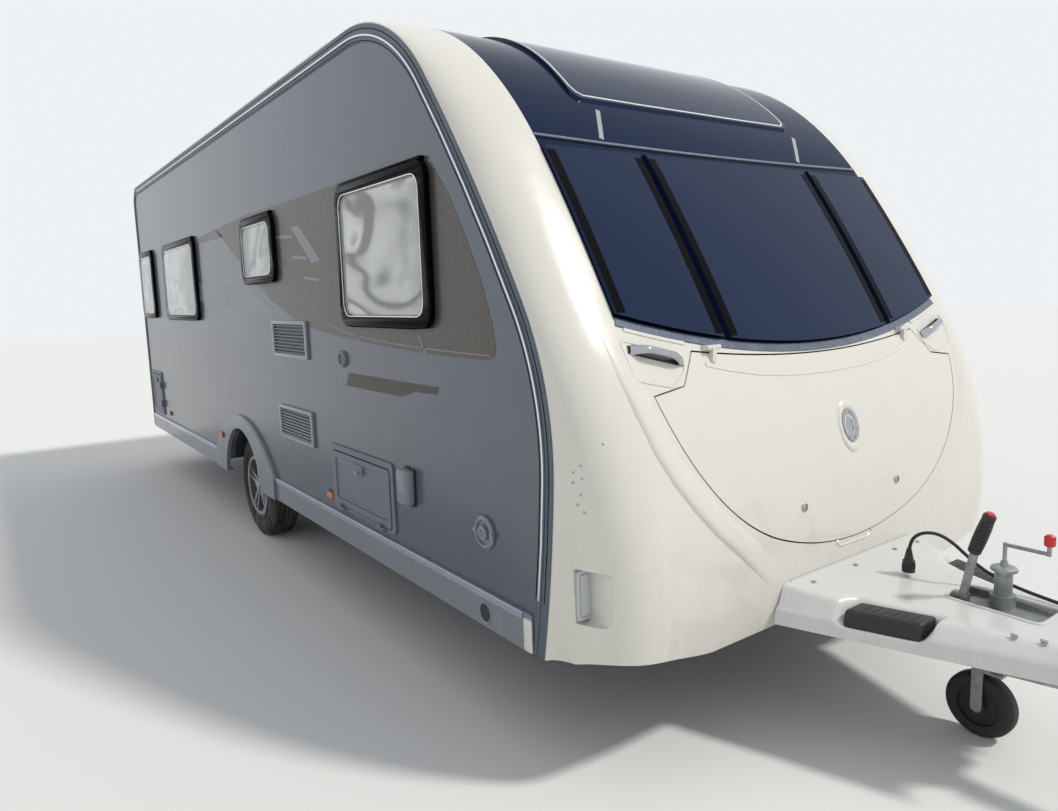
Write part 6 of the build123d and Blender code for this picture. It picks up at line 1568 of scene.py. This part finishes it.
class CARAVAN_OT_shell_seams(bpy.types.Operator):
    """Roof ribs, rooflight flanges, rear seams and the soft crease of the front"""
    bl_idname = "caravan.shell_seams"
    bl_label = "Seams and flanges"

    def crease_band(self, side):
        """The front's soft crease: a crisp outer edge that fades out towards the lid."""
        points = in_between(CREASE, CREASE_STEP)
        last = len(points) - 1
        rows = []
        for i, point in enumerate(points):
            along = (points[min(i + 1, last)] - points[max(i - 1, 0)]).normalized()
            inwards = Vector((-along.y, along.x))
            if inwards.x > 0:
                inwards = -inwards
            fade = min(1.0, CREASE_FADE * min(i, last - i) / len(points))
            row = []
            for off, height in CREASE_PROFILE:
                y, z = point + inwards * off
                place, normal = front(side * y, z, PANEL, LID)
                row.append(place + normal * (height * fade if height > 0 else height))
            rows.append(row + row[:1])
        return lay_grid(rows, around=True, capped=True)

    def execute(self, context):
        lines = [ribbon(straight(*line[:4]), *line[4:]) for line in REAR_RIBS + REAR_BAND + ROOF_RIBS]
        finished([self.crease_band(side) for side in SIDES] + lines, "shell_seams", "white_shell")
        sealant = [ribbon(straight(*line[:4]), *line[4:]) for line in ROOF_JOINTS]
        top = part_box("rooflights")[1].z
        half_x, pitch, half_y, half_z = ROOFLIGHT_RIB
        ribs = []
        for x in ROOFLIGHTS_X:
            light = around(x, 0, 0.240, 0.240)
            sealant.append(sheet([rounded(light, 0, 0.040), rounded(light, 0.035, 0.030)], 0.006,
                                 top_place(ROOF_Z + 0.003), 0.0015))
            ribs += [block((x - half_x, y - half_y, top - half_z), (x + half_x, y + half_y, top + half_z), 0.003)
                     for y in (step * pitch for step in RIB_STEPS)]
        finished(sealant, "sealant_lines", "sealant", "black_plastic")
        finished(ribs, "rooflight_ribs", "rooflight_acrylic")
        return {"FINISHED"}


# Brake grip: foot and tip, then its ribs: first height, pitch, radius and swell, groove depth, ledges of one rib
GRIP_FOOT, GRIP_TIP = Vector((3.0420, 0, 0.622)), Vector((3.0850, 0, 0.752))
GRIP_RIBS, GRIP_FIRST, GRIP_PITCH, GRIP_RADIUS, GRIP_SWELL, GRIP_GROOVE = 9, 0.010, 0.0115, 0.0195, 0.0015, 0.0014
GRIP_LEDGES = (0.0080, 0.0088, 0.0107)
GRIP_START = [(0.0, 0.0), (0.0150, 0.0), (0.0190, 0.004)]
GRIP_END = [(0.0190, -0.016), (0.0190, -0.006), (0.0160, -0.001), (0.0, -0.0005)]
BUTTON = [(0.0, -0.001), (0.0130, -0.001), (0.0130, 0.005), (0.0105, 0.0075), (0.0, 0.0085)]
# Crank knob: radius, over its foot (0) or its top (1), by how much; and the rib that is spun round it
KNOB = [(0.0, 0, 0.0), (0.0110, 0, 0.0), (0.0135, 0, 0.003), (0.0142, 0, 0.018), (0.0125, 1, -0.005),
        (0.0080, 1, -0.0005), (0.0, 1, 0.0)]
KNOB_RIBS, KNOB_RIB = 12, ((0.0125, -0.0018, 0.002), (0.0150, 0.0018, -0.006))
# Coupling bellows: folds, and one fold as (radius, share of its pitch)
FOLDS, FOLD, BELLOWS_END = 7, [(0.030, 0.08), (0.0395, 0.40), (0.0395, 0.60), (0.030, 0.92)], 0.020
# Bolts on the overrun housing: x along both flanks, then (x, y) on top. Collar round the jockey wheel's tube
FLANK_BOLTS, FLANK_BOLT_Z = (3.150, 3.215, 3.280), 0.405
TOP_BOLTS = ((2.990, -0.040), (2.990, 0.040), (3.370, -0.030), (3.370, 0.030))
COLLAR = [(0.0, 0.0), (0.0375, 0.0), (0.0380, 0.003), (0.0365, 0.009), (0.0300, 0.013), (0.0220, 0.015),
          (0.0120, 0.0155), (0.0100, 0.030), (0.0, 0.030)]
COLLAR_PLACE = (3.097, 0.080, 0.562)


class CARAVAN_OT_drawbar_details(bpy.types.Operator):
    """Ribbed brake grip, fluted crank knob, coupling bellows and bolts, and the jockey wheel's collar"""
    bl_idname = "caravan.drawbar_details"
    bl_label = "Drawbar details"

    def brake(self):
        way, length = (GRIP_TIP - GRIP_FOOT).normalized(), (GRIP_TIP - GRIP_FOOT).length
        profile = list(GRIP_START)
        for step in range(GRIP_RIBS):
            base = GRIP_FIRST + step * GRIP_PITCH
            swell = GRIP_RADIUS + GRIP_SWELL * sin(pi * step / (GRIP_RIBS - 1))
            ledge, groove, end = (base + height for height in GRIP_LEDGES)
            profile += [(swell, base), (swell, ledge), (swell - GRIP_GROOVE, groove), (swell - GRIP_GROOVE, end)]
        profile += [(radius, length + height) for radius, height in GRIP_END]
        grip = finished([turned(profile, GRIP_FOOT, way, 40)], "brake_grip", "black_plastic", angle=30.0)
        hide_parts("handbrake_grip")
        button = turned(BUTTON, GRIP_TIP - way * 0.002, way, 24)
        finished([button], "brake_button", "red_plastic", "black_plastic")

    def execute(self, context):
        self.brake()
        low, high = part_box("jockey_knob")
        x, y = ((low + high) / 2).xy
        knob = turned([(radius, (low.z, high.z)[base] + off) for radius, base, off in KNOB], (x, y, 0), UP, 36)
        (x0, y0, up), (x1, y1, down) = KNOB_RIB
        rib = block((x + x0, y + y0, low.z + up), (x + x1, y + y1, high.z + down), 0.0008, 1)
        knob = finished([knob, spun_copies(rib, KNOB_RIBS, (x, y, 0), UP)], "crank_knob", "red_plastic")
        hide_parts("jockey_knob")

        low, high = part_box("coupling_gaiter")
        pitch = (high.x - low.x) / FOLDS
        folds = [(radius, pitch * (step + share)) for step in range(FOLDS) for radius, share in FOLD]
        folds = [(BELLOWS_END, 0.0)] + folds + [(BELLOWS_END, high.x - low.x)]
        bellows = turned(folds, (low.x, 0, (low.z + high.z) / 2), (1, 0, 0))
        bellows = finished([bellows], "coupling_bellows", "black_rubber")
        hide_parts("coupling_gaiter")

        bolts = [turned(COLLAR, COLLAR_PLACE, UP, 40)]
        for x in FLANK_BOLTS:
            for side in SIDES:
                place, face = strike((x, side * 0.6, FLANK_BOLT_Z), (0, -side, 0), ("overrun_housing",))
                bolts.append(disc(place - face * 0.001, 0.0085, 0.007, face, 6, 0.001))
        for x, y in TOP_BOLTS:
            place, face = strike((x, y, 0.9), (0, 0, -1), ("overrun_housing",))
            bolts.append(disc(place - face * 0.001, 0.008, 0.006, face, 6, 0.001))
        finished(bolts, "drawbar_bolts", "galvanised_steel")
        return {"FINISHED"}


PIECES = [
    CARAVAN_OT_stage,
    CARAVAN_OT_finishes,
    CARAVAN_OT_lead,
    CARAVAN_OT_side_windows,
    CARAVAN_OT_decals,
    CARAVAN_OT_rails,
    CARAVAN_OT_front_trim,
    CARAVAN_OT_front_details,
    CARAVAN_OT_drawbar_fairing,
    CARAVAN_OT_wheels,
    CARAVAN_OT_wall_fittings,
    CARAVAN_OT_lamps,
    CARAVAN_OT_door,
    CARAVAN_OT_shell_seams,
    CARAVAN_OT_drawbar_details,
]


class CARAVAN_PT_panel(bpy.types.Panel):
    """Lists the caravan's pieces in the sidebar"""
    bl_label = "Caravan"
    bl_idname = "CARAVAN_PT_panel"
    bl_space_type = "VIEW_3D"
    bl_region_type = "UI"
    bl_category = "Caravan"

    def draw(self, context):
        for piece in PIECES:
            self.layout.operator(piece.bl_idname)


CLASSES = [CaravanSizes, CaravanColours] + PIECES + [CARAVAN_PT_panel]


def register():
    for made in CLASSES:
        bpy.utils.register_class(made)
    bpy.types.Scene.caravan_sizes = PointerProperty(type=CaravanSizes)
    bpy.types.Scene.caravan_colours = PointerProperty(type=CaravanColours)


def unregister():
    del bpy.types.Scene.caravan_sizes
    del bpy.types.Scene.caravan_colours
    for made in reversed(CLASSES):
        bpy.utils.unregister_class(made)


def main():
    register()
    for piece in PIECES:
        group_name, name = piece.bl_idname.split(".")
        getattr(getattr(bpy.ops, group_name), name)()


if __name__ == "__main__":
    main()
